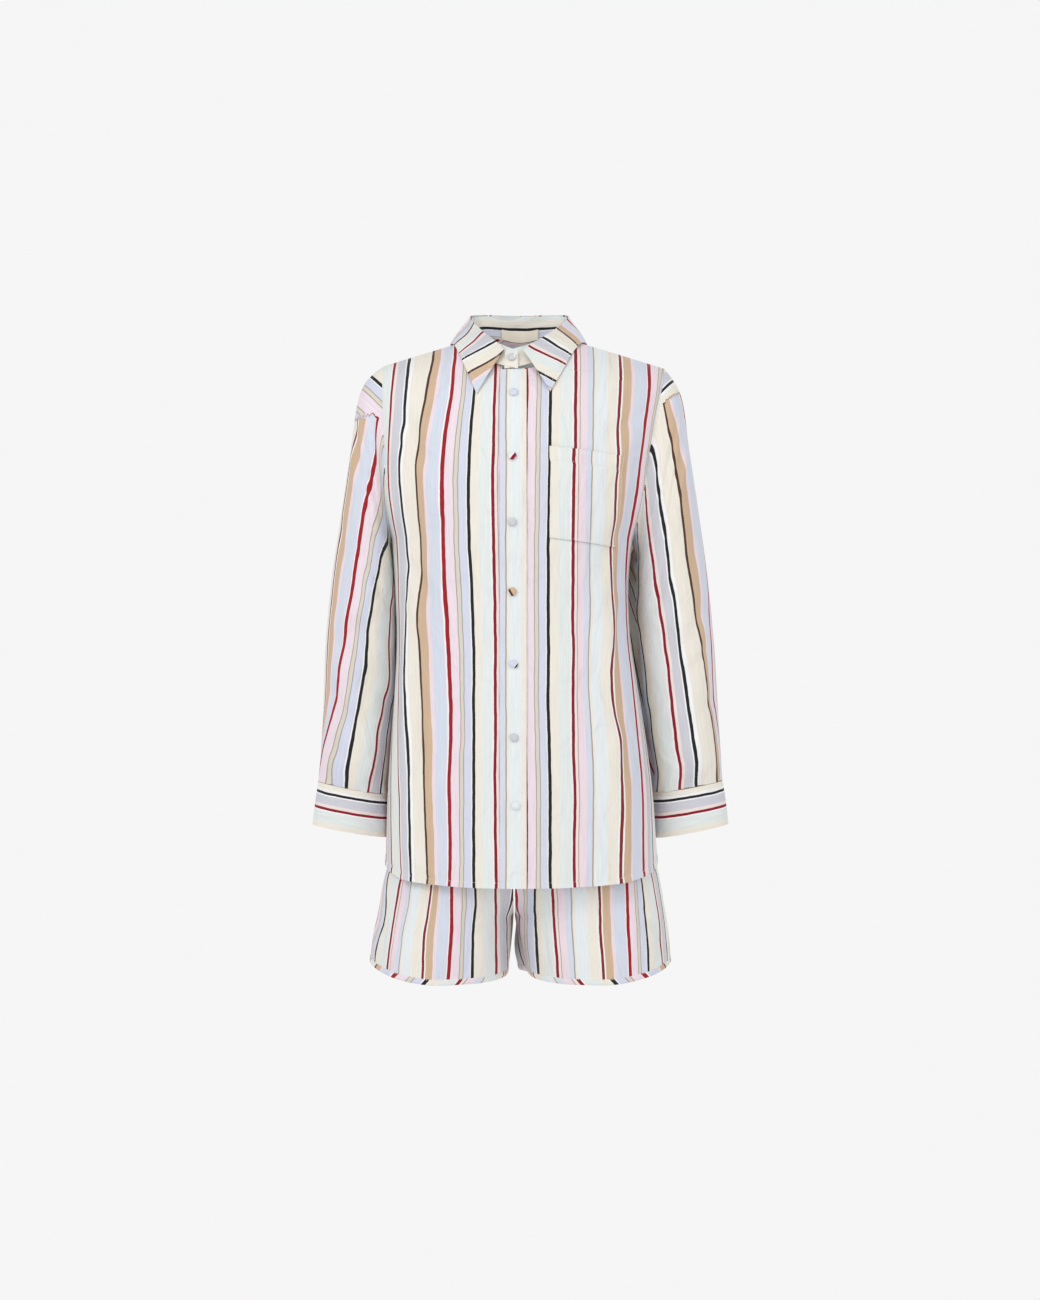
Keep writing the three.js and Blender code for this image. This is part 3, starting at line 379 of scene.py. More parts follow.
def neck_cut(side, half, level):
    """Distance along a section at which the neck seam cuts it, or none"""
    turns, along, x, y = section_arc(side, half, level)
    facing = -1 if half == "front" else 1
    ring = (x / NECK_HALF_WIDTH) ** 2 + ((facing * y - NECK_MIDDLE_Y) / NECK_HALF_DEPTH) ** 2
    if ring[0] >= 1:
        return -NECK_HALF_WIDTH
    k = int(np.argmax(ring >= 1))
    return along[k - 1] + (along[k] - along[k - 1]) * (1 - ring[k - 1]) / (ring[k] - ring[k - 1])


def body_grid(side, half, levels, start, columns, finish=0.0):
    """Points of a half of the body over levels, with their distances from the middle, folds included"""
    turn, distance, share = [], [], []
    for level, first in zip(levels, start):
        turns, along, _, _ = section_arc(side, half, level)
        d = np.linspace(first, along[-1] - finish, columns + 1)
        beyond = np.maximum(0, np.abs(d) - along[-1]) / (along[-1] - along[-2]) * (turns[-1] - turns[-2])
        turn.append(np.sign(d) * (np.interp(np.abs(d), along, turns) + beyond))
        distance.append(d)
        share.append(np.abs(d) / along[-1])
    turn, distance, share = np.array(turn), np.array(distance), np.array(share)
    level = np.asarray(levels, float)[:, None]
    grid = body_form(side, half, level, turn)
    zn, half_width, deep, _ = body_sizes(side, half, level)
    lift = HEM_RISE * share**3 * ease((HEM_RISE_TOP - zn) / (HEM_RISE_TOP - SHIRT_HEM_Z))
    grid[..., 2] += np.where(level > 0, lift, 0)
    height = np.zeros(distance.shape)
    for row in BODY_FOLDS:
        fold = dict(zip(FOLD_COLUMNS, row))
        if fold["side"] != side or fold["half"] != half:
            continue
        t = (zn - fold["top"]) / (fold["bottom"] - fold["top"])
        fade = ease(t / 0.3) * (1 if fold["bottom"] == SHIRT_HEM_Z else ease((1 - t) / 0.3))
        middle = mix(fold["start"], fold["end"], t)
        height += fold["height"] * fade * np.exp(-(((distance - middle) / fold["width"]) ** 2))
    height = np.where(distance > 0, height, 0)
    push = np.stack([grid[..., 0] / half_width**2, grid[..., 1] / np.maximum(1, deep) ** 2], -1)
    grid[..., :2] += unit(push) * height[..., None]
    return grid, distance


def body_over(x, y, half):
    """Points of the shoulders over places in plan, with their outward directions"""
    side = np.where(x < 0, -1, 1)
    points, outs = np.zeros((len(x), 3)), np.zeros((len(x), 3))
    for s in (-1, 1):
        chosen = side == s
        if not chosen.any():
            continue
        wide, long = np.abs(x[chosen]), np.abs(y[chosen])
        low, high = np.full(len(wide), RIDGE_LEVEL), np.zeros(len(wide))

        def turn_at(level):
            _, half_width, deep, _ = body_sizes(s, half, level)
            turn = np.arcsin(np.minimum(1, wide / half_width) ** (1 / BODY_POWER))
            return turn, deep * np.cos(turn) ** BODY_POWER

        for _ in range(30):
            middle = (low + high) / 2
            past = turn_at(middle)[1] > long
            high = np.where(past, middle, high)
            low = np.where(past, low, middle)
        turn = turn_at(low)[0]
        across = body_form(s, half, low, turn + 0.02) - body_form(s, half, low, turn - 0.02)
        down = body_form(s, half, low + 1.5, turn) - body_form(s, half, low - 1.5, turn)
        out = unit(np.cross(across, down))
        if s * (1 if half == "front" else -1) > 0:
            out = -out
        points[chosen] = body_form(s, half, low, turn)
        outs[chosen] = out
    return points, outs


def steps(start, end, size, last=False):
    """Evenly spaced values about size apart"""
    n = max(1, round(abs(end - start) / size))
    return np.linspace(start, end, n + 1)[: n + 1 if last else n]


def armhole_levels(half, size):
    middle = neck_level("front") if half == "front" else YOKE_LEVEL
    n = max(4, round(UNDERARM_LEVEL * 1.4 / size))
    underarm = UNDERARM_LEVEL * np.sin(np.linspace(0, math.pi / 2, n + 1))
    return np.concatenate([steps(RIDGE_LEVEL, middle, size), steps(middle, 0, size), underarm])


# Materials
def linear(hexed):
    """An sRGB hex colour as linear values"""
    parts = [int(hexed[k:k + 2], 16) / 255 for k in (0, 2, 4)]
    return tuple(c / 12.92 if c <= 0.04045 else ((c + 0.055) / 1.055) ** 2.4 for c in parts) + (1,)


def add(tree, kind, settings=None, links=None):
    """Adds one node with its settings, and feeds its inputs from sockets or plain values"""
    made = tree.nodes.new(kind)
    for name, value in (settings or {}).items():
        setattr(made, name, value)
    for name, source in (links or {}).items():
        if isinstance(source, bpy.types.NodeSocket):
            tree.links.new(source, made.inputs[name])
        else:
            made.inputs[name].default_value = source
    return made


def new_material(name):
    material = bpy.data.materials.new(name)
    material.use_nodes = True
    tree = material.node_tree
    tree.nodes.clear()
    return material, tree


def yarn_ramp(tree, place, first, last):
    """A ramp of the bands that start between two shares of the repeat"""
    ramp = add(tree, "ShaderNodeValToRGB", links={"Fac": place}).color_ramp
    ramp.interpolation = "CONSTANT"
    bands = [(start / REPEAT, colour) for start, colour in BANDS]
    before = [colour for start, colour in bands if start <= first][-1]
    inside = [((start - first) / (last - first), colour) for start, colour in bands if first < start < last]
    stops = [(0.0, before)] + inside
    while len(ramp.elements) < len(stops):
        ramp.elements.new(1)
    for element, (position, colour) in zip(ramp.elements, stops):
        element.position = position
        element.color = linear(YARN[colour])
    return tree.nodes[-1].outputs["Color"]


def striped_poplin():
    """Yarn-dyed cotton poplin, woven and pressed: matt, with soft uneven yarns and a faint sheen"""
    material, tree = new_material("striped cotton poplin")
    cloth = add(tree, "ShaderNodeUVMap", {"uv_map": "cloth"}).outputs["UV"]
    # The bands sway by a millimetre over a hand's width, and their edges wander by less than that
    parts = add(tree, "ShaderNodeSeparateXYZ", links={"Vector": cloth}).outputs
    moved = parts["X"]
    for scale, reach in ((60, 0.0009), (16, 0.0018)):
        wander = add(tree, "ShaderNodeTexNoise", {"noise_dimensions": "2D"},
                     {"Vector": cloth, "Scale": scale, "Detail": 1}).outputs["Fac"]
        centred = add(tree, "ShaderNodeMath", {"operation": "SUBTRACT"}, {0: wander, 1: 0.5}).outputs[0]
        moved = add(tree, "ShaderNodeMath", {"operation": "MULTIPLY_ADD"},
                    {0: centred, 1: reach, 2: moved}).outputs[0]
    turns = add(tree, "ShaderNodeMath", {"operation": "MULTIPLY"},
                {0: moved, 1: 1 / (REPEAT * MM)}).outputs[0]
    place = add(tree, "ShaderNodeMath", {"operation": "FRACT"}, {0: turns}).outputs[0]
    doubled = add(tree, "ShaderNodeMath", {"operation": "MULTIPLY"}, {0: place, 1: 2}).outputs[0]
    beyond = add(tree, "ShaderNodeMath", {"operation": "SUBTRACT"}, {0: doubled, 1: 1}).outputs[0]
    second = add(tree, "ShaderNodeMath", {"operation": "GREATER_THAN"}, {0: place, 1: 0.5}).outputs[0]
    near = yarn_ramp(tree, doubled, 0, 0.5)
    far = yarn_ramp(tree, beyond, 0.5, 1)
    bands = add(tree, "ShaderNodeMix", {"data_type": "RGBA"}, {"Factor": second, 6: near, 7: far}).outputs[2]
    # Streaks along the yarns, about 1 by 40 mm
    stretched = add(tree, "ShaderNodeVectorMath", {"operation": "MULTIPLY"},
                    {0: cloth, 1: (800, 22, 1)}).outputs["Vector"]
    slub = add(tree, "ShaderNodeTexNoise", {"noise_dimensions": "2D"},
               {"Vector": stretched, "Scale": 1, "Detail": 3}).outputs["Fac"]
    tone = add(tree, "ShaderNodeMapRange",
               links={"Value": slub, "To Min": 0.88, "To Max": 1.07}).outputs["Result"]
    colour = add(tree, "ShaderNodeMix", {"data_type": "RGBA", "blend_type": "MULTIPLY"},
                 {"Factor": 1.0, 6: bands, 7: tone}).outputs[2]
    # The real weave is 0.3 mm; it is drawn at 0.9 mm so that close views show it
    weave = []
    for direction in ("X", "Y"):
        weave.append(add(tree, "ShaderNodeTexWave", {"bands_direction": direction},
                         {"Vector": cloth, "Scale": 350, "Distortion": 0.6}).outputs["Fac"])
    threads = add(tree, "ShaderNodeMath", {"operation": "MULTIPLY"}, {0: weave[0], 1: weave[1]}).outputs[0]
    grain = add(tree, "ShaderNodeBump", links={"Height": threads, "Strength": 0.12, "Distance": 0.0003})
    # Wear leaves soft crumples, longer down the cloth than across it
    drawn = add(tree, "ShaderNodeVectorMath", {"operation": "MULTIPLY"},
                {0: cloth, 1: (30, 15, 1)}).outputs["Vector"]
    crush = add(tree, "ShaderNodeTexNoise", {"noise_dimensions": "2D"},
                {"Vector": drawn, "Scale": 1, "Detail": 3, "Roughness": 0.5, "Distortion": 0.7}).outputs["Fac"]
    crumple = add(tree, "ShaderNodeBump", links={
        "Height": crush, "Strength": 0.8, "Distance": 0.006, "Normal": grain.outputs["Normal"]})
    surface = add(tree, "ShaderNodeBsdfPrincipled", links={
        "Base Color": colour, "Roughness": 0.82, "IOR": 1.47, "Sheen Weight": 0.06, "Sheen Roughness": 0.5,
        "Normal": crumple.outputs["Normal"]})
    add(tree, "ShaderNodeOutputMaterial", links={"Surface": surface.outputs["BSDF"]})
    return material


def woven_label():
    """Cream polyester satin label, woven: smooth with a soft gloss along its fine ribs"""
    material, tree = new_material("woven satin label")
    place = add(tree, "ShaderNodeTexCoord").outputs["Object"]
    rib = add(tree, "ShaderNodeTexWave", {"bands_direction": "Z"},
              {"Vector": place, "Scale": 500, "Distortion": 0.4}).outputs["Fac"]
    cloud = add(tree, "ShaderNodeTexNoise", links={"Vector": place, "Scale": 120}).outputs["Fac"]
    colour = add(tree, "ShaderNodeMix", {"data_type": "RGBA"},
                 {"Factor": cloud, 6: linear("fff8e8"), 7: linear("f9ecd6")}).outputs[2]
    bump = add(tree, "ShaderNodeBump", links={"Height": rib, "Strength": 0.2, "Distance": 0.0003})
    surface = add(tree, "ShaderNodeBsdfPrincipled", links={
        "Base Color": colour, "Roughness": 0.5, "IOR": 1.5, "Sheen Weight": 0.2,
        "Normal": bump.outputs["Normal"]})
    add(tree, "ShaderNodeOutputMaterial", links={"Surface": surface.outputs["BSDF"]})
    return material


def sewing_thread():
    """Spun polyester sewing thread: off-white and dull, with its twist as a fine ripple"""
    material, tree = new_material("spun sewing thread")
    place = add(tree, "ShaderNodeTexCoord").outputs["Object"]
    twist = add(tree, "ShaderNodeTexNoise", links={"Vector": place, "Scale": 2500}).outputs["Fac"]
    colour = add(tree, "ShaderNodeMix", {"data_type": "RGBA"},
                 {"Factor": twist, 6: linear("d9d6d3"), 7: linear("f2f0ec")}).outputs[2]
    surface = add(tree, "ShaderNodeBsdfPrincipled",
                  links={"Base Color": colour, "Roughness": 0.7, "IOR": 1.5})
    add(tree, "ShaderNodeOutputMaterial", links={"Surface": surface.outputs["BSDF"]})
    return material


def painted_board():
    """Painted studio board for the floor: matt and even, with the faintest mottle"""
    material, tree = new_material("painted studio board")
    place = add(tree, "ShaderNodeTexCoord").outputs["Object"]
    mottle = add(tree, "ShaderNodeTexNoise", links={"Vector": place, "Scale": 3}).outputs["Fac"]
    colour = add(tree, "ShaderNodeMix", {"data_type": "RGBA"},
                 {"Factor": mottle, 6: linear("f3f3f3"), 7: linear("f5f5f5")}).outputs[2]
    surface = add(tree, "ShaderNodeBsdfPrincipled", links={"Base Color": colour, "Roughness": 0.9})
    add(tree, "ShaderNodeOutputMaterial", links={"Surface": surface.outputs["BSDF"]})
    return material


POPLIN = striped_poplin()
LABEL = woven_label()
THREAD = sewing_thread()
BOARD = painted_board()
SHIRT_LIFT = 0.3
SHEET = 0.9
FINE = 4.0


# Sewing. Each stitch is a short thread that rises a little in its middle.
def stitch_row(path, outs, sunk=0.1, length=2.3, pitch=3.0, thick=0.32):
    along = np.concatenate([[0], np.cumsum(np.linalg.norm(np.diff(path, axis=0), axis=1))])
    starts = np.arange(0.5, along[-1] - length, pitch)

    def at(distance):
        return (np.stack([np.interp(distance, along, path[:, k]) for k in range(3)], -1),
                unit(np.stack([np.interp(distance, along, outs[:, k]) for k in range(3)], -1)))

    first, out_a = at(starts)
    last, out_b = at(starts + length)
    out = unit(out_a + out_b)
    run = unit(last - first)
    wide = unit(np.cross(run, out)) * thick
    rings = []
    for t in (0.2, 0.8):
        middle = mix(first, last, t) - out * sunk
        rings += [middle + wide, middle + out * thick * 1.4, middle - wide, middle - out * thick]
    points = np.stack([first - out * (sunk + 0.2)] + rings + [last - out * (sunk + 0.2)], 1)
    faces = []
    for k in range(4):
        n = (k + 1) % 4
        faces += [(0, 1 + n, 1 + k), (1 + k, 1 + n, 5 + n), (1 + k, 5 + n, 5 + k), (9, 5 + k, 5 + n)]
    faces = np.array(faces)[None] + (np.arange(len(starts)) * 10)[:, None, None]
    return points.reshape(-1, 3), faces.reshape(-1, 3)


def sew(name, rows, slot="striped_poplin"):
    """Joins rows of stitches into one piece"""
    points, faces, count = [], [], 0
    for path, outs in rows:
        p, f = stitch_row(np.asarray(path), np.asarray(outs))
        points.append(p)
        faces.append(f + count)
        count += len(p)
    return dress(new_mesh(name, np.concatenate(points), np.concatenate(faces)), THREAD, slot)


def grid_line(points, outs, row=None, column=None):
    """A line over a grid of points at a fractional row or column"""
    if row is not None:
        k = min(int(row), len(points) - 2)
        t = row - k
        return mix(points[k], points[k + 1], t), unit(mix(outs[k], outs[k + 1], t))
    k = min(int(column), points.shape[1] - 2)
    t = column - k
    return mix(points[:, k], points[:, k + 1], t), unit(mix(outs[:, k], outs[:, k + 1], t))


# Places in the repeat of the stripes that the photo shows plainly. Those named with a 0 belong to the
# repeats before, and crimson_3 and black_4 to the next one.
STRIPES = {
    "crimson_1": 1.6, "black_1": 22.5, "brown": 45.6, "sky_end": 73.5, "red_1": 78.9, "black_2": 110.3,
    "crimson_2": 141.9, "russet": 202, "tan_stop": 215.1, "red_2": 237.4, "black_3": 268.9, "crimson_3": 300.3,
    "black_4": 321.2, "black_0": -29.8, "brown_0": -253.1, "black_00": -276.2, "crimson_00": -297.1,
    "black_000": -328.5,
}
# How far each of them lies from the middle of the body, by height
FRONT_STRIPES = {
    -1: {
        "z": [-25, -80, -160, -220, -290, -360, -450, -530, -590, -710],
        "crimson_2": [32, 33, 35, 34.8, 33.7, 32.5, 32, 32.2, 32.6, 31],
        "black_2": [58, 60.3, 66.5, 67.5, 65.4, 62, 60.3, 60, 60, 59.8],
        "red_1": [86.6, 91, 102, 103, 102, 99, 93.5, 93.5, 94.7, 94],
        "brown": [116, 126.6, 144.6, 144, 142, 147, 138, 132, 130.7, 124.8],
        "black_1": [150, 158, 171, 169, 165, 169, 167, 160, 155.6, 149.7],
        "crimson_1": [169, 182, 196, 196, 194, 197, 194, 186, 178, 167],
    },
    1: {
        "z": [-25, -80, -160, -220, -290, -360, -450, -530, -590, -710],
        "black_2": [39.6, 39.6, 38, 37, 36.1, 36, 36.1, 37, 38.5, 38.8],
        "crimson_2": [73.8, 73, 71.5, 70.5, 69.8, 70, 70, 70.6, 71.5, 71.1],
        "russet": [133.8, 133, 131.5, 131, 131.5, 133, 123.5, 134.5, 135.4, 133.5],
        "red_2": [173.6, 180, 177.6, 178, 181, 182, 180, 181, 184, 181],
    },
}
# How far they lie round a sleeve from its outer line, by the place along it
SLEEVE_STRIPES = {
    -1: {
        "at": [0.034, 0.045, 0.056, 0.065, 0.085, 0.11, 0.16, 0.2, 0.28, 0.36, 0.44, 0.52, 0.6, 0.68, 0.76, 0.84,
               0.92, 1],
        "russet": [18, 21, 26, 31, 34, 35, 36, 33.6, 28, 29, 30, 29, 28, 25, 18, 4, -12, -22],
        "tan_stop": [38, 45, 54, 63, 71, 74, 75, 67.6, 58, 54, 51, 48, 44, 39, 29, 13, -2, -12],
        "red_2": [84, 93, 110, 131, 137, 138, 126, 114, 98, 88, 81.5, 74.5, 63, 54.9, 43, 26, 10, 0],
        "black_3": [165, 178, 200, 228, 234, 230, 212, 188, 148, 127, 116, 108, 99, 90.5, 81.5, 76.4, 68, 58.7],
        "crimson_3": [225, 238, 260, 286, 294, 290, 270, 240, 194, 168, 156, 148, 141.5, 128.8, 114.8, 110.8,
                      101, 86.7],
    },
    1: {
        "at": [0.034, 0.045, 0.056, 0.065, 0.085, 0.11, 0.16, 0.2, 0.28, 0.36, 0.44, 0.52, 0.6, 0.68, 0.76, 0.84,
               0.92, 1],
        "red_1": [8, 10, 12, 14, 14, 14, 12, 12, 12, 14, 20, 30.9, 31.9, 33, 26, 14, 4, -6],
        "brown": [62, 70, 79, 85, 93, 94, 93.5, 90.2, 84.9, 80.5, 71.6, 65, 54.1, 46.6, 38.8, 33.5, 29, 22.8],
        "black_1": [138, 141, 147, 151, 160, 164, 159, 148.5, 129.2, 115.7, 104.1, 98.7, 88.6, 82.2, 75.1, 70.4,
                    64.5, 55.4],
        "crimson_1": [189, 198, 204, 210, 215, 215.5, 205, 190.6, 163.6, 142.4, 127.6, 119.3, 107.7, 102.3, 96.6,
                      93.2, 86.3, 78.3],
        "black_0": [240, 250, 256, 262, 266, 268, 262, 250, 225, 210, 188.2, 170.1, 156, 149.9, 144, 139, 130,
                    118],
    },
}
# The cap of a sleeve folds over a crease, and its stripes slant: a place on them, and the crease's height
CAP_STRIPES = {
    -1: {"x": -193, "z": -49.8, "stripe": "black_3", "slant": -0.6,
         "crease_z": -97.5, "crease_x": -197, "tilt": 0.1, "least": 243},
    1: {"x": 182, "z": -71, "stripe": "black_1", "slant": 0.7071,
        "crease_z": -74, "crease_x": 198, "tilt": 0.59, "least": -400},
}
# How far they lie from the side seam round the front of a leg, by height
LEG_STRIPES = {
    -1: {
        "z": [-719, -740, -760, -780, -800, -820, -845],
        "black_2": [36, 46, 54, 60, 60, 56, 54],
        "crimson_2": [74.7, 79.5, 84.2, 89.6, 94.5, 94.7, 93.9],
        "russet": [125.9, 129.3, 133.9, 139.8, 146.1, 148.1, 148.3],
        "red_2": [154.4, 158.7, 165.9, 175.1, 181.1, 182.6, 182.3],
        "black_3": [186, 190.8, 196.3, 204.6, 212.6, 215.3, 216.2],
        "crimson_3": [212.2, 217.7, 229.1, 241.7, 251.3, 256, 259.9],
        "black_4": [238, 244, 256, 273, 285.9, 296.9, 310],
    },
    1: {
        "z": [-719, -740, -760, -780, -800, -820, -845],
        "crimson_3": [50, 54, 57, 62, 67, 69, 69.2],
        "black_3": [74.7, 80.3, 87.1, 95.6, 101.9, 103.6, 103.6],
        "red_2": [101.2, 107.6, 115.3, 123.5, 129.5, 131.2, 131.3],
        "russet": [143.5, 147.2, 153.5, 161.3, 166.8, 168.1, 167.8],
        "crimson_2": [205.1, 208, 214.1, 221.3, 227, 228.5, 228.6],
        "black_2": [227.6, 233, 242.8, 252.7, 260.4, 264.5, 268.4],
        "red_1": [254.5, 260.8, 280.6, 303.7, 325, 335, 342],
    },
}
# Height whose stripes the backs of the legs follow, away from the side seam
BACK_STRIPES_Z = -800
# How far they lie along the collar from the middle of the back, by the share from its roll to its edge
COLLAR_STRIPES = {
    "share": [0, 0.5, 1],
    "sky_end": [-254, -277, -297],
    "brown": [-226.6, -249.5, -261],
    "black_1": [-198, -222.5, -231.3],
    "crimson_1": [-156, -199.5, -216],
    "black_0": [-118, -170, -184],
    "brown_0": [140, 178, 197],
    "black_00": [183, 214, 226],
    "crimson_00": [218.6, 237.7, 247],
    "black_000": [250, 269.7, 281],
}
# Places in the repeat at the cuffs' top, the placket's outer edge and the collar stand's top, at the front of
# the stand, at the middle of the back, and at the shoulders' ridge
CUFF_STRIPES = 35.0
PLACKET_STRIPES = 157.9
STAND_STRIPES = 128.5
STAND_FRONT_STRIPE = 117.5
BACK_STRIPE = 150
YOKE_STRIPE = 60
# Creases by distance from the middle and height at both ends, with their width and how far they rise
FRONT_CREASES = {
    -1: [
        (172, -92, 118, -196, 13, -2.9), (152, -150, 92, -262, 11, 2), (178, -128, 148, -176, 8, -1.9),
        (60, -300, 150, -425, 17, -1.9), (174, -290, 116, -352, 11, -2.4), (168, -345, 132, -398, 8, 1.9),
        (45, -520, 128, -606, 18, 1.7), (122, -640, 60, -702, 17, -1.5), (150, -455, 172, -628, 11, -2.5),
        (128, -430, 138, -560, 8, 1.7), (75, -120, 48, -232, 17, -1.3), (92, -470, 70, -540, 10, -1.5),
        (36, -385, 66, -470, 13, -1.4), (160, -660, 138, -712, 11, 1.9), (88, -205, 110, -262, 11, -1.3),
    ],
    1: [
        (170, -100, 108, -142, 11, -2.9), (164, -124, 122, -186, 11, 2.2), (140, -170, 118, -232, 10, -1.7),
        (152, -245, 100, -335, 13, -2.4), (166, -325, 118, -425, 13, 2.4), (60, -330, 130, -455, 17, -1.9),
        (94, -290, 100, -560, 7, -2), (116, -462, 160, -524, 13, -2.9), (150, -500, 118, -590, 11, 2),
        (60, -560, 122, -694, 18, 1.7), (160, -560, 148, -694, 11, 2.2), (40, -480, 76, -562, 15, -1.4),
        (70, -395, 48, -458, 11, 1.4), (88, -640, 70, -706, 13, -1.5), (130, -640, 136, -712, 10, -1.7),
    ],
}
BACK_CREASES = [
    (-120, -120, -60, -300, 16, -3), (110, -130, 50, -330, 16, -3), (-150, -300, -90, -430, 12, 2.8),
    (150, -310, 95, -470, 12, 2.8), (-30, -420, -70, -640, 15, -2.4), (40, -380, 10, -640, 15, 2.2),
    (-140, -520, -110, -690, 11, -2.6), (140, -540, 105, -700, 11, 2.6), (-168, -220, -130, -300, 8, -2.4),
    (165, -235, 128, -325, 8, -2.4), (-100, -455, -60, -520, 9, 2), (85, -500, 60, -590, 9, -2),
]


def stripe_over(table, key, at, distance):
    """The place in the repeat at a distance over a panel, read between the stripes that its table places"""
    names = [name for name in table if name != key]
    places = [STRIPES[name] for name in names]
    lines = [smooth(table, key, name, at) for name in names]
    way = 1 if places[1] > places[0] else -1
    stripe = places[0] + way * (distance - lines[0])
    for k in range(len(names) - 1):
        share = (distance - lines[k]) / (lines[k + 1] - lines[k])
        stripe = np.where(distance > lines[k], mix(places[k], places[k + 1], share), stripe)
    return np.where(distance > lines[-1], places[-1] + way * (distance - lines[-1]), stripe)


def hem_turn(distance_up):
    """The turned hem is a little thicker than the cloth, and is drawn in and puckers along its stitching"""
    thick = 0.9 * ease((9 - distance_up) / 4) - 0.7 * np.exp(-((distance_up - 8) / 3) ** 2)
    pucker = 0.35 * np.exp(-((distance_up - 7) / 4) ** 2)
    return thick, pucker


def shirt_front(side, name, node, edge):
    levels = np.concatenate([armhole_levels("front", FINE), steps(UNDERARM_LEVEL, HEM_LEVEL, FINE, True)[1:]])
    start = np.array([max(edge, neck_cut(side, "front", level)) for level in levels])
    grid, distance = body_grid(side, "front", levels, start, 64)
    z = grid[..., 2]
    out, _ = directions(grid, False, (0, -1, 0))
    up = (HEM_LEVEL - levels)[:, None]
    height = creases(FRONT_CREASES[side], distance, z)
    height = height * ease((distance + 5) / 25)
    thick, pucker = hem_turn(up)
    height = height + thick + pucker * ripple(distance, 16, side)
    grid = grid + out * height[..., None]
    weave = np.stack([stripe_over(FRONT_STRIPES[side], "z", z, distance), -z], -1)
    outer, outs = cloth_piece(name, node, grid, weave, SHIRT_LIFT, SHEET, away=(0, -1, 0))
    row = np.interp(HEM_LEVEL - HEM_STITCH_UP, levels, np.arange(len(levels)))
    return grid_line(outer, outs, row=row)


def build_fronts():
    right = shirt_front(-1, "front_panel_right", "shirt_front_right", -FRONT_EDGE_X)
    left = shirt_front(1, "front_panel_left", "shirt_front_left", FRONT_EDGE_X)
    sew("hem_stitching_front", [right, left])


def build_back():
    levels = armhole_levels("back", FINE)
    upper = levels[levels >= YOKE_LEVEL - 1e-6]
    levels = np.concatenate([upper, steps(UNDERARM_LEVEL, HEM_LEVEL, FINE, True)[1:]])
    halves = [body_grid(side, "back", levels, np.zeros(len(levels)), 60) for side in (-1, 1)]
    grid = np.concatenate([halves[0][0][:, ::-1], halves[1][0][:, 1:]], 1)
    across = np.concatenate([-halves[0][1][:, ::-1], halves[1][1][:, 1:]], 1)
    z = grid[..., 2]
    out, _ = directions(grid, False, (0, 1, 0))
    up = (HEM_LEVEL - levels)[:, None]
    thick, pucker = hem_turn(up)
    height = creases(BACK_CREASES, across, z) + thick + pucker * ripple(across, 17, 2)
    grid = grid + out * height[..., None]
    weave = np.stack([BACK_STRIPE + across, -z], -1)
    outer, outs = cloth_piece("back_panel", "shirt_back", grid, weave, SHIRT_LIFT, SHEET, away=(0, 1, 0))
    row = np.interp(HEM_LEVEL - HEM_STITCH_UP, levels, np.arange(len(levels)))
    sew("hem_stitching_back", [grid_line(outer, outs, row=row)])


def build_yoke():
    back_neck = neck_level("back")
    levels = np.concatenate([steps(RIDGE_LEVEL, back_neck, FINE), steps(back_neck, YOKE_LEVEL, FINE, True)])
    strips = []
    for side in (-1, 1):
        start = np.array([max(0, neck_cut(side, "back", level)) for level in levels])
        strips.append(body_grid(side, "back", levels, start, 56))
    rows = []
    for (grid, distance), side, label in ((strips[0], -1, "right"), (strips[1], 1, "left")):
        weave = np.stack([levels[:, None] + 0 * distance + YOKE_STRIPE, distance], -1)
        outer, outs = cloth_piece(f"yoke_{label}", "shirt_yoke", grid, weave, SHIRT_LIFT, SHEET, away=(0, 0.5, 1))
        rows.append(grid_line(outer, outs, row=len(levels) - 1.6))
        rows.append(grid_line(outer[:, 4:], outs[:, 4:], row=1.6))
    sew("yoke_stitching", rows)


# Sleeves and cuffs
def armhole_loop(side):
    """Even points round an armhole, from the shoulder down the front and up the back"""
    halves = []
    for half in ("front", "back"):
        levels = armhole_levels(half, FINE)
        grid, _ = body_grid(side, half, levels, np.zeros(len(levels)), 80)
        halves.append(grid[:, -1] + unit(grid[:, -1] - grid[:, -2]) * SEAM_GAP)
    front, back = halves[0], halves[1][::-1]

    def even(path, n):
        along = np.concatenate([[0], np.cumsum(np.linalg.norm(np.diff(path, axis=0), axis=1))])
        places = np.linspace(0, along[-1], n + 1)
        return np.stack([np.interp(places, along, path[:, k]) for k in range(3)], -1)

    n = 52
    return np.concatenate([even(front, n)[:-1], even(back, n)[:-1]])


def tuck(side, turns):
    return side * SLEEVE_TUCK[side] * np.exp(-(((turns - 0.6) / 0.075) ** 2))


def ring_points(side, ring, turns, swell):
    """Points of sleeve rings, from their sizes and the share of the turn round them"""
    angle = 2 * np.pi * turns
    outer = np.stack([side * ring["out_x"], ring["y"], ring["out_z"]], -1)
    inner = np.stack([side * ring["in_x"], ring["y"], ring["in_z"]], -1)
    half = (outer - inner) / 2
    reach = 1 + swell / np.linalg.norm(half, axis=-1)[:, None]
    points = (outer + inner)[:, None] / 2 + half[:, None] * (np.cos(angle) * reach)[..., None]
    points[..., 1] -= (ring["deep"][:, None] + swell) * np.sin(angle)
    return points


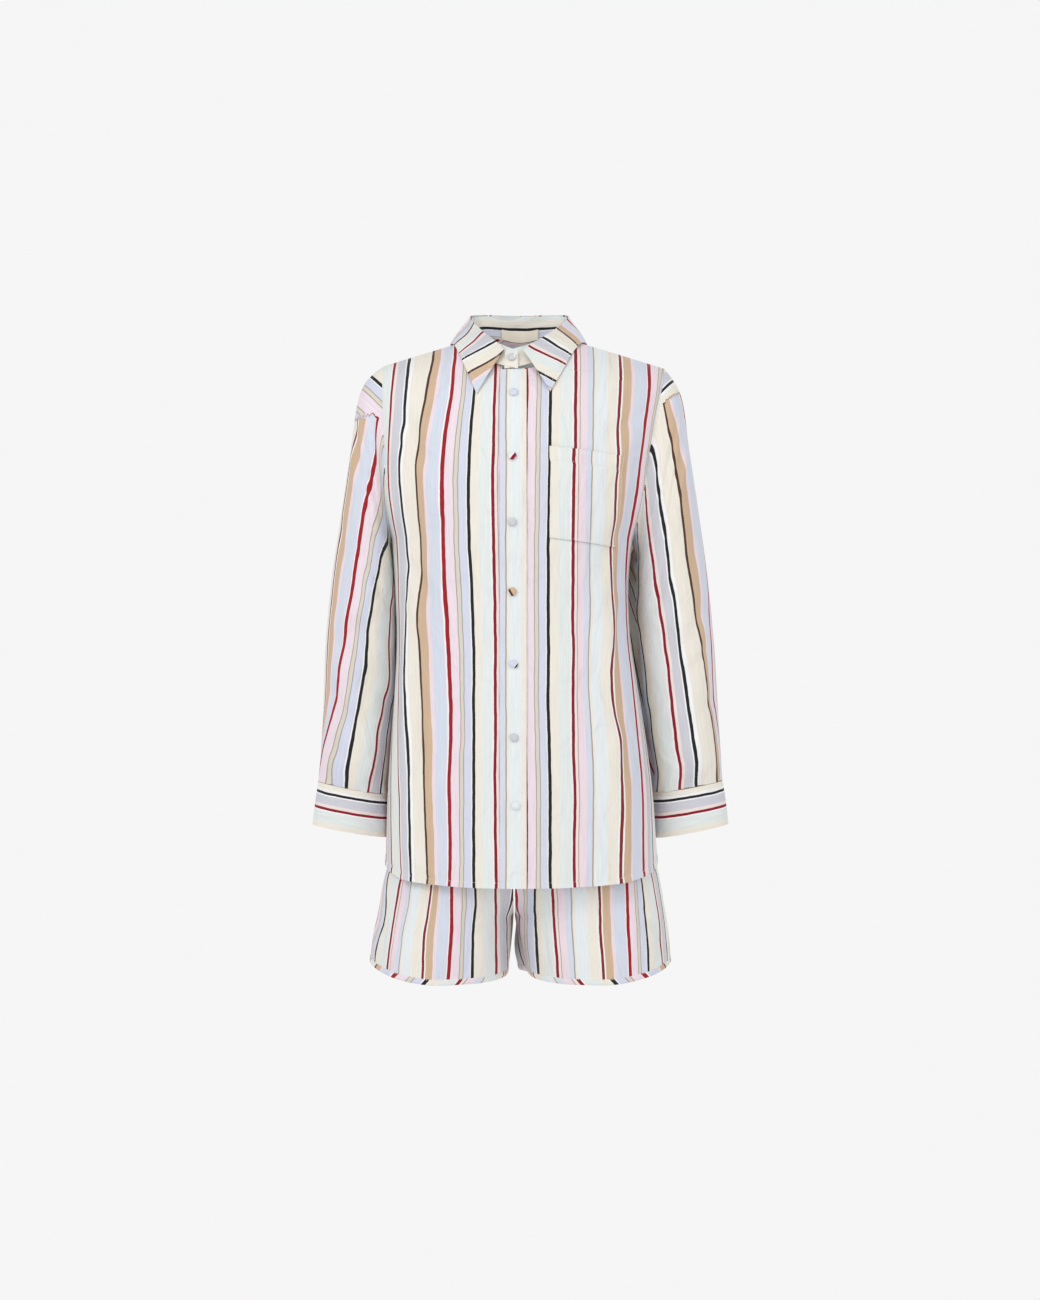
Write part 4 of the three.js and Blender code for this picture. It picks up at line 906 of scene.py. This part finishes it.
# Creases of the sleeves by distance round from the outer line, and along from the armhole
SLEEVE_CREASES = {
    -1: [
        (20, 60, 90, 78, 10, -2.5), (95, 70, 140, 110, 10, -2.1), (30, 84, 84, 104, 9, 1.8),
        (60, 120, 130, 190, 14, 1.8), (28, 150, 76, 214, 12, -1.7), (110, 230, 40, 300, 14, -2.2),
        (118, 262, 62, 322, 10, 2), (120, 330, 50, 362, 14, 1.8), (36, 340, 96, 392, 12, -2.1),
        (30, 400, 110, 472, 14, -2), (104, 420, 62, 470, 10, 1.7), (110, 480, 50, 522, 12, 2),
        (40, 520, 92, 556, 10, -1.8), (20, 470, 28, 560, 9, 1.5),
    ],
    1: [
        (15, 55, 80, 75, 10, -2.7), (90, 65, 140, 120, 10, -2.2), (34, 80, 96, 108, 9, 2.2),
        (70, 130, 130, 210, 14, 2), (30, 140, 70, 200, 12, -1.7), (40, 240, 120, 300, 14, -2.2),
        (50, 276, 112, 334, 10, 2), (120, 340, 45, 382, 14, 1.8), (30, 350, 88, 402, 12, -2),
        (100, 410, 30, 482, 14, -2.1), (110, 440, 66, 492, 10, 1.8), (40, 490, 100, 532, 12, 2),
        (92, 524, 44, 560, 10, -1.8), (22, 480, 26, 560, 9, 1.5),
    ],
}


def sleeve_stripe(side, at, around, points):
    """Stripes run down the arm, and slant over the cap above its crease"""
    arm = stripe_over(SLEEVE_STRIPES[side], "at", at, around)
    cap = CAP_STRIPES[side]
    slanted = (side * (points[..., 0] - cap["x"]) - (points[..., 2] - cap["z"])) * cap["slant"]
    crease = cap["crease_z"] + cap["tilt"] * (points[..., 0] - cap["crease_x"])
    slanted = cap["least"] + np.abs(STRIPES[cap["stripe"]] + slanted - cap["least"])
    return mix(arm, slanted, ease((points[..., 2] - crease) / 2.5 + 0.5))


def build_sleeve(side, label):
    loop = armhole_loop(side)
    columns = len(loop)
    turns = (np.arange(columns) / columns)[None]
    cap = [np.linspace(0, 0.05, 9)[:-1], np.linspace(0.05, 0.27, 57)[:-1]]
    at = np.concatenate(cap + [np.linspace(0.27, 1, 105)])
    ring = {key: smooth(SLEEVE[side], "at", key, at) for key in SLEEVE[side] if key != "at"}
    swell = np.zeros((len(at), columns))
    for place, turn, length, width, lean, height in SLEEVE_FOLDS:
        across = (turns - turn) / length
        along = (at[:, None] - place - lean * across) / width
        swell += height * np.exp(-across**2 - along**2)
    grid = ring_points(side, ring, turns, swell)
    hold = ease(at / 0.07)[:, None, None]
    around = row_lengths(closed(mix(loop[None], grid, hold)))
    tucked = ease((at - 0.07) / 0.11) * mix(1, 0.8, ease((at - 0.8) / 0.2))
    grid[..., 0] -= tuck(side, turns) * tucked[:, None]
    grid = mix(loop[None], grid, hold)
    out, _ = directions(grid, True, from_middle(grid))
    down = np.cumsum(np.linalg.norm(np.diff(grid, axis=0, prepend=grid[:1]), axis=2), 0).mean(1)[:, None]
    inside = np.minimum(around[:, :-1], around[:, -1:] - around[:, :-1])
    fine = creases(SLEEVE_CREASES[side], around[:, :-1], down)
    rear = creases(SLEEVE_CREASES[side], (around[:, -1:] - around[:, :-1]) + 12, down + 20)
    fade = ease(at / 0.05)[:, None] * (1 - 0.8 * ease((inside - 120) / 30))
    end = down[-1] - down
    pucker = 1.1 * np.exp(-(end / 20)) * ripple(around[:, :-1], 19, side)
    grid = grid + out * ((fine + rear) * fade + pucker * ease(at / 0.9)[:, None])[..., None]
    behind = np.arange(columns) >= columns // 2
    weaves = []
    for part, points in ((around[:, :-1], grid), (around[:, 1:], np.roll(grid, -1, 1))):
        round_it = np.where(behind, part - around[:, -1:], part)
        # The stripes of the back half run straight down from those at the outer line
        level = np.where(behind, mix(at[:, None], 0.4, ease(-round_it / 70)), at[:, None])
        weaves.append(np.stack([sleeve_stripe(side, level, round_it, points), down + 0 * part], -1))
    outer, outs = cloth_piece(f"sleeve_{label}_cloth", f"shirt_sleeve_{label}", grid, weaves[0],
                              SHIRT_LIFT, SHEET, around=True, weave_on=weaves[1])
    sew(f"armhole_stitching_{label}", [grid_line(closed(outer), closed(outs), row=0.8)])
    return turns, ring


def build_cuff(side, label, turns, ring):
    top = {key: values[-1] for key, values in ring.items()}
    t = np.linspace(0, 1, 19)
    sizes = {key: mix(top[key], CUFF_END[side][key], t) for key in top}
    grid = ring_points(side, sizes, turns, np.zeros((len(t), turns.shape[1])))
    grid[..., 0] += side * 0.1 - 0.8 * tuck(side, turns)
    grid[..., 2] -= ((1 - t) * SEAM_GAP * 2)[:, None]
    out, _ = directions(grid, True, from_middle(grid))
    around = row_lengths(closed(grid))
    depth = 60 * t[:, None]
    seam = 0.45 * np.exp(-((depth - 2.5) / 2.2) ** 2) + 0.3 * np.exp(-((depth - 57.5) / 2) ** 2)
    soft = 0.5 * np.sin(around[:, :-1] / 31 + side) * np.sin(np.pi * t)[:, None]
    grid = grid + out * (soft - seam)[..., None]
    weave = np.stack([CUFF_STRIPES - depth + 0 * around, around], -1)
    outer, outs = cloth_piece(f"cuff_{label}_cloth", f"shirt_cuff_{label}", grid, weave, 0.4, 1.4, around=True)
    sew(f"cuff_stitching_{label}", [grid_line(closed(outer), closed(outs), row=row) for row in (0.75, 17.2)])


# Placket, pocket, collar and label
def build_placket():
    levels = np.concatenate([steps(neck_level("front") + 2, 0, FINE), steps(0, HEM_LEVEL, FINE, True)])
    x = np.linspace(PLACKET["left"], PLACKET["right"], 15)
    halves = []
    for side, chosen in ((-1, x[x < 0]), (1, x[x >= 0])):
        turn = np.array([np.interp(np.abs(chosen), *section_arc(side, "front", level)[1::-1])
                         for level in levels])
        halves.append(body_form(side, "front", levels[:, None], turn))
    grid = np.concatenate(halves, 1)
    out, _ = directions(grid, False, (0, -1, 0))
    edge = np.minimum(x - x[0], x[-1] - x)[None]
    down = levels[:, None]
    soft = 0.35 * ripple(down + x[None] * 2, 46, 1) * np.exp(-((edge - 3) / 5) ** 2)
    soft += 0.8 * np.exp(-(((x[None] - 2) / 9) ** 2)) * np.sin(down / 34) * ease((down - 330) / 120)
    height = CLOTH + LAY_GAP + 0.2 - 0.35 * np.exp(-((edge - 1.6) / 1.1) ** 2) + np.maximum(soft, -0.4)
    grid = grid + out * height[..., None]
    weave = np.stack([PLACKET_STRIPES + (x - x[0])[None] + 0 * down, down + 0 * x[None]], -1)
    outer, outs = cloth_piece("placket_cloth", "shirt_placket", grid, weave, 0.1, 1.2, away=(0, -1, 0))
    sew("placket_stitching", [grid_line(outer, outs, column=c) for c in (0.7, 13.3)])


def build_pocket():
    n = 34
    v, u = np.meshgrid(np.linspace(0, 1, n + 1), np.linspace(0, 1, n + 1), indexing="ij")
    z = mix(mix(POCKET["top"][0], POCKET["top"][1], u), mix(POCKET["low"][0], POCKET["low"][1], u), v)
    distance = mix(POCKET["inner"], POCKET["outer"], u)
    levels = np.linspace(float(level_of(POCKET["top"][0] + 1)), float(level_of(POCKET["low"][1] - 1)), 60)
    base, base_distance = body_grid(1, "front", levels, np.zeros(len(levels)), 90)
    out, _ = directions(base, False, (0, -1, 0))
    base = base + out * creases(FRONT_CREASES[1], base_distance, base[..., 2])[..., None]
    level = level_of(z)
    row = np.interp(level, levels, np.arange(len(levels)))
    low = np.clip(row.astype(int), 0, len(levels) - 2)
    grid = np.zeros(z.shape + (3,))
    outs = np.zeros(z.shape + (3,))
    for k in range(n + 1):
        for m in range(n + 1):
            r = low[k, m]
            t = row[k, m] - r
            for target, source in ((grid, base), (outs, out)):
                here = [np.array([np.interp(distance[k, m], base_distance[q], source[q, :, a])
                                  for a in range(3)]) for q in (r, r + 1)]
                target[k, m] = mix(here[0], here[1], t)
    edge = np.minimum(np.minimum(u, 1 - u) * POCKET_WIDTH, (1 - v) * POCKET_HEIGHT)
    top = v * POCKET_HEIGHT
    height = CLOTH + LAY_GAP + 0.15 + 0.5 * ease(edge / 14) * ease(top / 6)
    height += 1.5 * ease((24 - top) / 24) * np.sin(np.pi * u) ** 0.7
    height -= 0.3 * np.exp(-((edge - 2) / 1.2) ** 2) + 0.3 * np.exp(-((top - POCKET_HEM) / 1.5) ** 2)
    grid = grid + unit(outs) * height[..., None]
    jog = 1.2 + 1.5 * ease((19 - top) / 3)
    weave = np.stack([stripe_over(FRONT_STRIPES[1], "z", z, distance) + jog, -z], -1)
    outer, out = cloth_piece("pocket_cloth", "shirt_pocket", grid, weave, 0.1, 1.0, away=(0, -1, 0))
    side = 2.0 / POCKET_WIDTH * n
    low = n - 2.0 / POCKET_HEIGHT * n
    lines = [grid_line(outer, out, column=side), grid_line(outer, out, column=n - side),
             grid_line(outer, out, row=low), grid_line(outer, out, row=POCKET_HEM / POCKET_HEIGHT * n)]
    sew("pocket_stitching", lines)


def collar_shift(at):
    return BUTTON_LINE_X * (1 - at) ** 2


def collar_path(n):
    t = np.linspace(-1, 1, n + 1)
    return np.where(t < 0, -1, 1), 1 - np.abs(t)


def collar_roll(side, at):
    return np.stack([side * smooth(COLLAR, "at", "roll_x", at) + collar_shift(at),
                     smooth(COLLAR, "at", "roll_y", at), smooth(COLLAR, "at", "roll_z", at)], -1)


def over_body(x, y):
    x = np.where(x == 0, 1e-3, x)
    points, outs = np.zeros((len(x), 3)), np.zeros((len(x), 3))
    for half, chosen in (("front", y < 0), ("back", y >= 0)):
        if chosen.any():
            points[chosen], outs[chosen] = body_over(x[chosen], y[chosen], half)
    return points, outs


def collar_edge(side, at):
    x = side * smooth(COLLAR, "at", "edge_x", at) + collar_shift(at)
    points, outs = over_body(x, smooth(COLLAR, "at", "edge_y", at))
    return points + outs * (CLOTH + LAY_GAP + 0.6)


def neck_seam(side, at):
    x = side * NECK_HALF_WIDTH * np.sin(np.pi * at) + collar_shift(at)
    points, outs = over_body(x, NECK_MIDDLE_Y - NECK_HALF_DEPTH * np.cos(np.pi * at))
    lift = CLOTH + LAY_GAP + 0.7 * np.exp(-(((at - 0.56) / 0.14) ** 2))
    return points + outs * lift[:, None]


def stand_points(side, at, v):
    points = mix(neck_seam(side, at), collar_roll(side, at), v)
    ends = np.maximum(0, 1 - at / 0.22) ** 2
    reach = np.where(side < 0, 6, 12)
    points[:, 0] -= side * ends * (reach + np.abs(points[:, 0] - BUTTON_LINE_X))
    points[:, 1] -= np.where(side < 0, 2.9, 0) * ease(1 - at / 0.3)
    return points


def build_stand():
    side, at = collar_path(150)
    v = np.linspace(0, 1, 13)
    grid = np.stack([stand_points(side, at, t) for t in v])
    length = row_lengths(grid)
    above = np.cumsum(np.linalg.norm(np.diff(grid[::-1], axis=0, prepend=grid[-1:]), axis=2), 0)[::-1]
    stripe = np.maximum(STAND_STRIPES - above, np.where(at < 0.32, STAND_FRONT_STRIPE, 0))
    weave = np.stack([stripe, length], -1)
    cloth_piece("collar_stand_cloth", "collar_stand", grid, weave, 0.3, 1.5)


def build_fall():
    side, at = collar_path(190)
    v = np.linspace(0, 1, 25)
    roll, edge = collar_roll(side, at), collar_edge(side, at)
    away = np.stack([roll[:, 0] - BUTTON_LINE_X * (1 - at), roll[:, 1], 0 * at], -1)
    away = unit(away)
    clearance = FOLDED_CLOTH + SEAM_GAP + 0.6 + 1.4 * ease(1 - at / 0.3)
    start = roll + away * clearance[:, None] + np.array([0, 0, 1.5])
    rows = []
    for t in v:
        bulge = COLLAR_BULGE * math.sin(math.pi * t) * (0.35 + 0.65 * ease(at / 0.3)) * 0.7
        rows.append(mix(start, edge, t) + (away + np.array([0, 0, 1])) * bulge[:, None])
    grid = np.stack(rows)
    length = row_lengths(grid)
    along = length - length[:, length.shape[1] // 2][:, None]
    share = v[:, None] + 0 * along
    weave = np.stack([stripe_over(COLLAR_STRIPES, "share", share, along), share * COLLAR_FALL_DEPTH], -1)
    outer, outs = cloth_piece("collar_fall_cloth", "collar_fall", grid, weave, 0.2, 1.2)
    lines = [grid_line(outer, outs, row=24 - 24 * 5 / COLLAR_FALL_DEPTH), grid_line(outer, outs, column=2.2),
             grid_line(outer, outs, column=190 - 2.2)]
    sew("collar_stitching", lines)


def build_label():
    share = np.linspace(-1, 1, 33)
    at = 1 - np.abs(share) * 0.115
    side = np.where(share < 0, -1, 1)
    rows = []
    for v in np.linspace(0.03, 0.44, 9):
        points = mix(neck_seam(side, at), collar_roll(side, at), v)
        points[:, 0] = share * 25.5
        points[:, 1] -= LAY_GAP + 0.2
        rows.append(points)
    grid = np.stack(rows)
    weave = np.stack(np.broadcast_arrays(share[None] * 25.5, np.linspace(0, 17, 9)[:, None]), -1)
    piece, outer, outs = shell("neck_label_cloth", grid, weave, 0.2, 0.6, away=(0, -1, 0))
    dress(piece, LABEL, "satin_label", "neck_label")
    sides = [grid_line(outer, outs, column=column) for column in (1, 31)]
    sew("label_stitching", sides, "satin_label")


# Buttons: height of each, its place across, and the stripe that covers its middle with its turn
BUTTONS = [
    {"z": -77, "x": -8.2, "stripe": 68, "turn": 90},
    {"z": -160, "x": -10.2, "stripe": 139.5, "turn": -40},
    {"z": -245, "x": -9.7, "stripe": 13.5, "turn": 10},
    {"z": -335, "x": -9.7, "stripe": 48.5, "turn": 30},
    {"z": -429, "x": -8.3, "stripe": 264, "turn": -35},
    {"z": -524, "x": -7.8, "stripe": 12.5, "turn": 15},
    {"z": -612, "x": -5.4, "stripe": 177, "turn": 70},
]


def covered_button(name, node, foot, out, stripe, turn):
    """A domed button covered in the poplin, which gathers a little at its rim"""
    out = Vector(out).normalized()
    across = Vector((1, 0, 0))
    across = (across - out * across.dot(out)).normalized()
    up = out.cross(across)
    if up.z < 0:
        up = -up
    sides, rings = 32, 9
    angle = np.arange(sides) / sides * 2 * np.pi
    profile = [(2.8, 0.0), (3.0, 1.0), (5.0, 1.4)]
    profile += [(BUTTON["radius"] * math.cos(t), BUTTON["rim"] + (BUTTON["dome"] - BUTTON["rim"]) * math.sin(t))
                for t in np.linspace(0, math.pi / 2, rings)[:-1]]
    rows = []
    for k, (radius, height) in enumerate(profile):
        gather = 1 + 0.012 * np.sin(angle * 13) * max(0, 1 - k / 5)
        flat = [radius * gather * np.cos(angle), radius * gather * np.sin(angle)]
        rows.append(np.outer(flat[0], across) + np.outer(flat[1], up) + np.outer(np.full(sides, height), out))
    points = np.concatenate(rows + [np.outer([BUTTON["dome"]], out), np.outer([0.0], out)]) + np.array(foot)
    top, bottom = len(points) - 2, len(points) - 1
    faces = []
    for i in range(len(profile) - 1):
        for j in range(sides):
            k = (j + 1) % sides
            faces.append((i * sides + j, i * sides + k, (i + 1) * sides + k, (i + 1) * sides + j))
    last = (len(profile) - 1) * sides
    for j in range(sides):
        k = (j + 1) % sides
        faces.append((last + j, last + k, top, top))
        faces.append((k, j, bottom, bottom))
    faces = [tuple(dict.fromkeys(face)) for face in faces]
    mesh = bpy.data.meshes.new(name)
    mesh.from_pydata((points * MM).tolist(), [], faces)
    turned = math.radians(turn)
    local = points - np.array(foot)
    u, v = local @ np.array(across), local @ np.array(up)
    uv = mesh.uv_layers.new(name="cloth")
    for loop in mesh.loops:
        a, b = u[loop.vertex_index], v[loop.vertex_index]
        uv.data[loop.index].uv = ((stripe + a * math.cos(turned) + b * math.sin(turned)) * MM,
                                  (b * math.cos(turned) - a * math.sin(turned)) * MM)
    mesh.polygons.foreach_set("use_smooth", [True] * len(mesh.polygons))
    piece = bpy.data.objects.new(name, mesh)
    bpy.context.scene.collection.objects.link(piece)
    return dress(piece, POPLIN, "covered_button", node)


def build_buttons():
    for k, row in enumerate(BUTTONS):
        level = float(level_of(np.array(row["z"])))
        levels = np.array([level - 2, level, level + 2])
        turn = np.array([np.interp(abs(row["x"]) + np.array([1, 0, -1]),
                                   *section_arc(-1, "front", one)[1::-1]) for one in levels])
        patch = body_form(-1, "front", levels[:, None], turn)
        out, _ = directions(patch, False, (0, -1, 0))
        foot = patch[1, 1] + out[1, 1] * (CLOTH + LAY_GAP + PLACKET["thick"] + 0.05)
        covered_button(f"covered_button_{k + 1}", f"button_{k + 1}", foot, out[1, 1],
                       row["stripe"], row["turn"])
    side = np.array([-1, -1, -1])
    at = np.array([0.03, 0.05, 0.07])
    across = stand_points(side, at, 0.5)
    upward = stand_points(side, at, 0.6)[1] - stand_points(side, at, 0.4)[1]
    out = unit(np.cross(across[2] - across[0], upward))
    if out[1] > 0:
        out = -out
    foot = across[1] + out * (FOLDED_CLOTH + 0.3)
    covered_button("covered_button_collar", "button_collar", foot, out, 16, 10)


# Shorts
def shorts_point(side, half, z, turn):
    """Points of a leg. Turn 0 is the side seam and 1 the centre seam or, below the crotch, the inside leg."""
    z, turn = np.broadcast_arrays(np.asarray(z, float), np.asarray(turn, float))
    wide = smooth(SHORTS, "z", "left" if side < 0 else "right", z)
    deep = smooth(SHORTS, "z", half, z)
    inside = side * (smooth(SHORTS, "z", "inner_left" if side < 0 else "inner_right", z) + CLOTH)
    rise = (RISE_START_Z - z) / (RISE_START_Z - CROTCH_Z)
    parting = SEAM_GAP / 2 + (CLOTH + 0.1) * np.clip(1.6 * rise, 0, 1)
    centre = np.where(z > CROTCH_Z, SHORTS_CENTRE_X + side * parting, inside)
    quarter = turn * np.pi / 2
    hip_x = mix(centre, side * wide, powered(np.cos(quarter), SHORTS_POWER))
    hip_y = deep * powered(np.sin(quarter), SHORTS_POWER)
    around = np.pi * turn
    middle = (side * wide + centre) / 2
    leg_half = np.abs(side * wide - centre) / 2
    leg_x = middle + side * leg_half * powered(np.cos(around), SHORTS_POWER)
    leg_y = deep * powered(np.sin(around), SHORTS_POWER)
    parted = ease((LEG_FORM_Z[0] - z) / (LEG_FORM_Z[0] - LEG_FORM_Z[1]))
    t = np.clip(rise, 0, 1)
    share = mix(parted, 1 - np.sqrt(1 - t * t), turn**4)
    fold = np.zeros(z.shape)
    for s, h, place, top, width, height in SHORTS_FOLDS:
        if s == side and h == half:
            grown = ease(np.maximum(0, (z - top) / (LEG_HEM_Z - top)) / 0.7)
            fold += height * grown * np.exp(-(((turn - place) / width) ** 2))
    y = mix(hip_y, leg_y, share) + fold * np.sin(around)
    outer = np.maximum(0, np.cos(around)) ** 1.5
    lift = LEG_HEM_RISE * outer * ease((CROTCH_Z + 20 - z) / (CROTCH_Z + 20 - LEG_HEM_Z))
    facing = -1 if half == "front" else 1
    x = mix(hip_x, leg_x, share)
    if side > 0 and half == "back":
        x = x - LEG_TUCK * ease((CROTCH_Z + 6 - z) / 70) * np.exp(-(((turn - 0.92) / 0.05) ** 2))
    return np.stack([x, facing * y, z + lift], -1)


LEG_QUARTERS = [(-1, "front"), (1, "front"), (-1, "back"), (1, "back")]
BACK_LEG_CREASES = [(60, -745, 90, -840, 9, 2.4), (140, -740, 176, -804, 7, -2.2), (30, -730, 44, -830, 8, -2)]
SHORTS_CREASES = {
    (-1, "front"): [
        (20, -745, 60, -840, 7, 2.4), (95, -740, 120, -820, 8, -2.4), (150, -735, 190, -795, 6, 2.6),
        (128, -748, 176, -812, 6, -2.0), (52, -738, 74, -800, 7, -2.0),
    ],
    (1, "front"): [
        (20, -745, 50, -840, 7, 2.4), (90, -745, 70, -830, 8, -2.4), (150, -735, 190, -795, 6, 2.6),
        (126, -745, 170, -815, 6, -2.0), (112, -760, 104, -842, 7, 1.8),
    ],
    (-1, "back"): BACK_LEG_CREASES,
    (1, "back"): BACK_LEG_CREASES,
}


def build_shorts():
    top = SHORTS_TOP_Z - WAISTBAND_DEPTH - SEAM_GAP
    heights = np.concatenate([steps(top, RISE_START_Z, 6), steps(RISE_START_Z, BINDING_TOP_Z, FINE, True)])
    turns = np.linspace(0, 1, 61)
    names = {-1: "right", 1: "left"}
    for side, half in LEG_QUARTERS:
        grid = shorts_point(side, half, heights[:, None], turns[None])
        facing = -1 if half == "front" else 1
        away = (0, facing, 0)
        length = row_lengths(grid)
        out, _ = directions(grid, False, away)
        fine = creases(SHORTS_CREASES[(side, half)], length, heights[:, None])
        fine = fine * np.sin(np.pi * turns)[None] ** 0.5
        grid = grid + out * fine[..., None]
        if half == "front":
            stripe = stripe_over(LEG_STRIPES[side], "z", heights[:, None], length)
        else:
            # The stripes of the back run straight from those at the side seam
            level = mix(heights[:, None], BACK_STRIPES_Z, ease(length / 60))
            stripe = stripe_over(LEG_STRIPES[side], "z", level, -length)
        weave = np.stack([stripe, -heights[:, None] + 0 * length], -1)
        name = f"shorts_{half}_{names[side]}"
        cloth_piece(f"{name}_cloth", name, grid, weave, SHIRT_LIFT, SHEET, away=away)


def leg_ring(side, z):
    turns = np.linspace(0, 1, 61)
    front = shorts_point(side, "front", z, turns)
    back = shorts_point(side, "back", z, turns)
    return np.concatenate([front, back[1:-1][::-1]])


def build_bindings():
    for side, label in ((-1, "right"), (1, "left")):
        heights = np.linspace(BINDING_TOP_Z, LEG_HEM_Z, 9)
        grid = np.stack([leg_ring(side, z) for z in heights])
        out, _ = directions(grid, True, from_middle(grid))
        v = np.linspace(0, 1, 9)[:, None]
        around = row_lengths(closed(grid))
        roll = 0.75 * np.sin(np.pi * v) ** 0.6 - 0.2 + 0.12 * ripple(around[:, :-1], 9, side)
        grid = grid + out * roll[..., None]
        weave = np.stack([(around + v * BINDING_DEPTH) * 0.7071, (v * BINDING_DEPTH - around) * 0.7071], -1)
        outer, outs = cloth_piece(f"leg_binding_{label}", f"hem_binding_{label}", grid, weave, 0.0, 1.5, around=True)
        sew(f"binding_stitching_{label}", [grid_line(closed(outer), closed(outs), row=1)])


def build_waistband():
    heights = np.linspace(SHORTS_TOP_Z, SHORTS_TOP_Z - WAISTBAND_DEPTH, 13)
    turns = np.linspace(0, 1, 61)
    rows = []
    for z in heights:
        quarters = {key: shorts_point(*key, z, turns) for key in LEG_QUARTERS}
        rows.append(np.concatenate([
            quarters[(-1, "front")][:-1], quarters[(1, "front")][1:][::-1],
            quarters[(1, "back")][:-1], quarters[(-1, "back")][1:][::-1]]))
    grid = np.stack(rows)
    out, _ = directions(grid, True, from_middle(grid))
    v = np.linspace(0, 1, 13)[:, None]
    around = row_lengths(closed(grid))
    gather = 0.7 * np.sin(around[:, :-1] / 2.1) * np.sin(np.pi * v)
    grid = grid + out * gather[..., None]
    weave = np.stack([around, v * WAISTBAND_DEPTH + 0 * around], -1)
    cloth_piece("waistband_cloth", "shorts_waistband", grid, weave, 0.3, 1.5, around=True)


# Studio
FLOOR_RADIUS = 1800
FLOOR_Z = -2600


def build_studio():
    turns = np.linspace(0, 2 * np.pi, 73)[:-1]
    rim = np.stack([FLOOR_RADIUS * np.cos(turns), FLOOR_RADIUS * np.sin(turns), np.full(72, FLOOR_Z)], -1)
    board = new_mesh("studio_floor", rim, [range(72)])
    board.data.materials.append(BOARD)


def area_light(name, place, target, size, power):
    data = bpy.data.lights.new(name, "AREA")
    data.shape = "RECTANGLE"
    data.size, data.size_y = size
    data.energy = power
    light = bpy.data.objects.new(name, data)
    light.location = place
    light.rotation_euler = (Vector(target) - Vector(place)).to_track_quat("-Z", "Y").to_euler()
    bpy.context.scene.collection.objects.link(light)


def build_lights():
    middle = (0, 0, -0.43)
    area_light("key_softbox", (-1.8, -2.6, 1.3), middle, (1.2, 1.2), 29)
    area_light("fill_softbox", (2.3, -2.6, 0.1), middle, (2.0, 2.0), 11)
    area_light("top_softbox", (0.2, -1.5, 1.7), (0, 0, 0), (1.2, 0.8), 5)
    area_light("back_softbox", (0.7, 3.0, 2.3), middle, (1.4, 1.4), 26)
    world = bpy.data.worlds.new("studio air")
    world.use_nodes = True
    tree = world.node_tree
    tree.nodes.clear()
    # The walls of the studio are pale at eye level, and dimmer towards the ceiling and floor
    place = add(tree, "ShaderNodeTexCoord").outputs["Generated"]
    height = add(tree, "ShaderNodeSeparateXYZ", links={"Vector": place}).outputs["Z"]
    steep = add(tree, "ShaderNodeMath", {"operation": "ABSOLUTE"}, {0: height}).outputs[0]
    glow = add(tree, "ShaderNodeMapRange", {"interpolation_type": "SMOOTHSTEP"}, {
        "Value": steep, "From Min": 0.42, "From Max": 0.8, "To Min": 0.92, "To Max": 0.33}).outputs["Result"]
    air = add(tree, "ShaderNodeBackground", links={"Color": (1, 1, 1, 1), "Strength": glow})
    add(tree, "ShaderNodeOutputWorld", links={"Surface": air.outputs["Background"]})
    bpy.context.scene.world = world
    bpy.context.scene.view_settings.view_transform = "Standard"


# The camera stands level, 2.8 m away, where 1 pixel of the 1300 is 1.36 mm at the middle of the set
CAMERA_DISTANCE = 2.8
PIXEL = 1.36
PICTURE_HEIGHT = 1300


def build_camera():
    data = bpy.data.cameras.new("camera")
    data.sensor_width = 36
    data.lens = 36 * CAMERA_DISTANCE / (PICTURE_HEIGHT * PIXEL * MM)
    camera = bpy.data.objects.new("camera", data)
    camera.location = (0, -CAMERA_DISTANCE, -0.4107)
    camera.rotation_euler = (math.pi / 2, 0, 0)
    bpy.context.scene.collection.objects.link(camera)
    bpy.context.scene.camera = camera


build_camera()
build_lights()
build_studio()
build_fronts()
build_back()
build_yoke()
for side, label in ((-1, "right"), (1, "left")):
    turns, ring = build_sleeve(side, label)
    build_cuff(side, label, turns, ring)
build_placket()
build_pocket()
build_stand()
build_fall()
build_label()
build_buttons()
build_shorts()
build_bindings()
build_waistband()
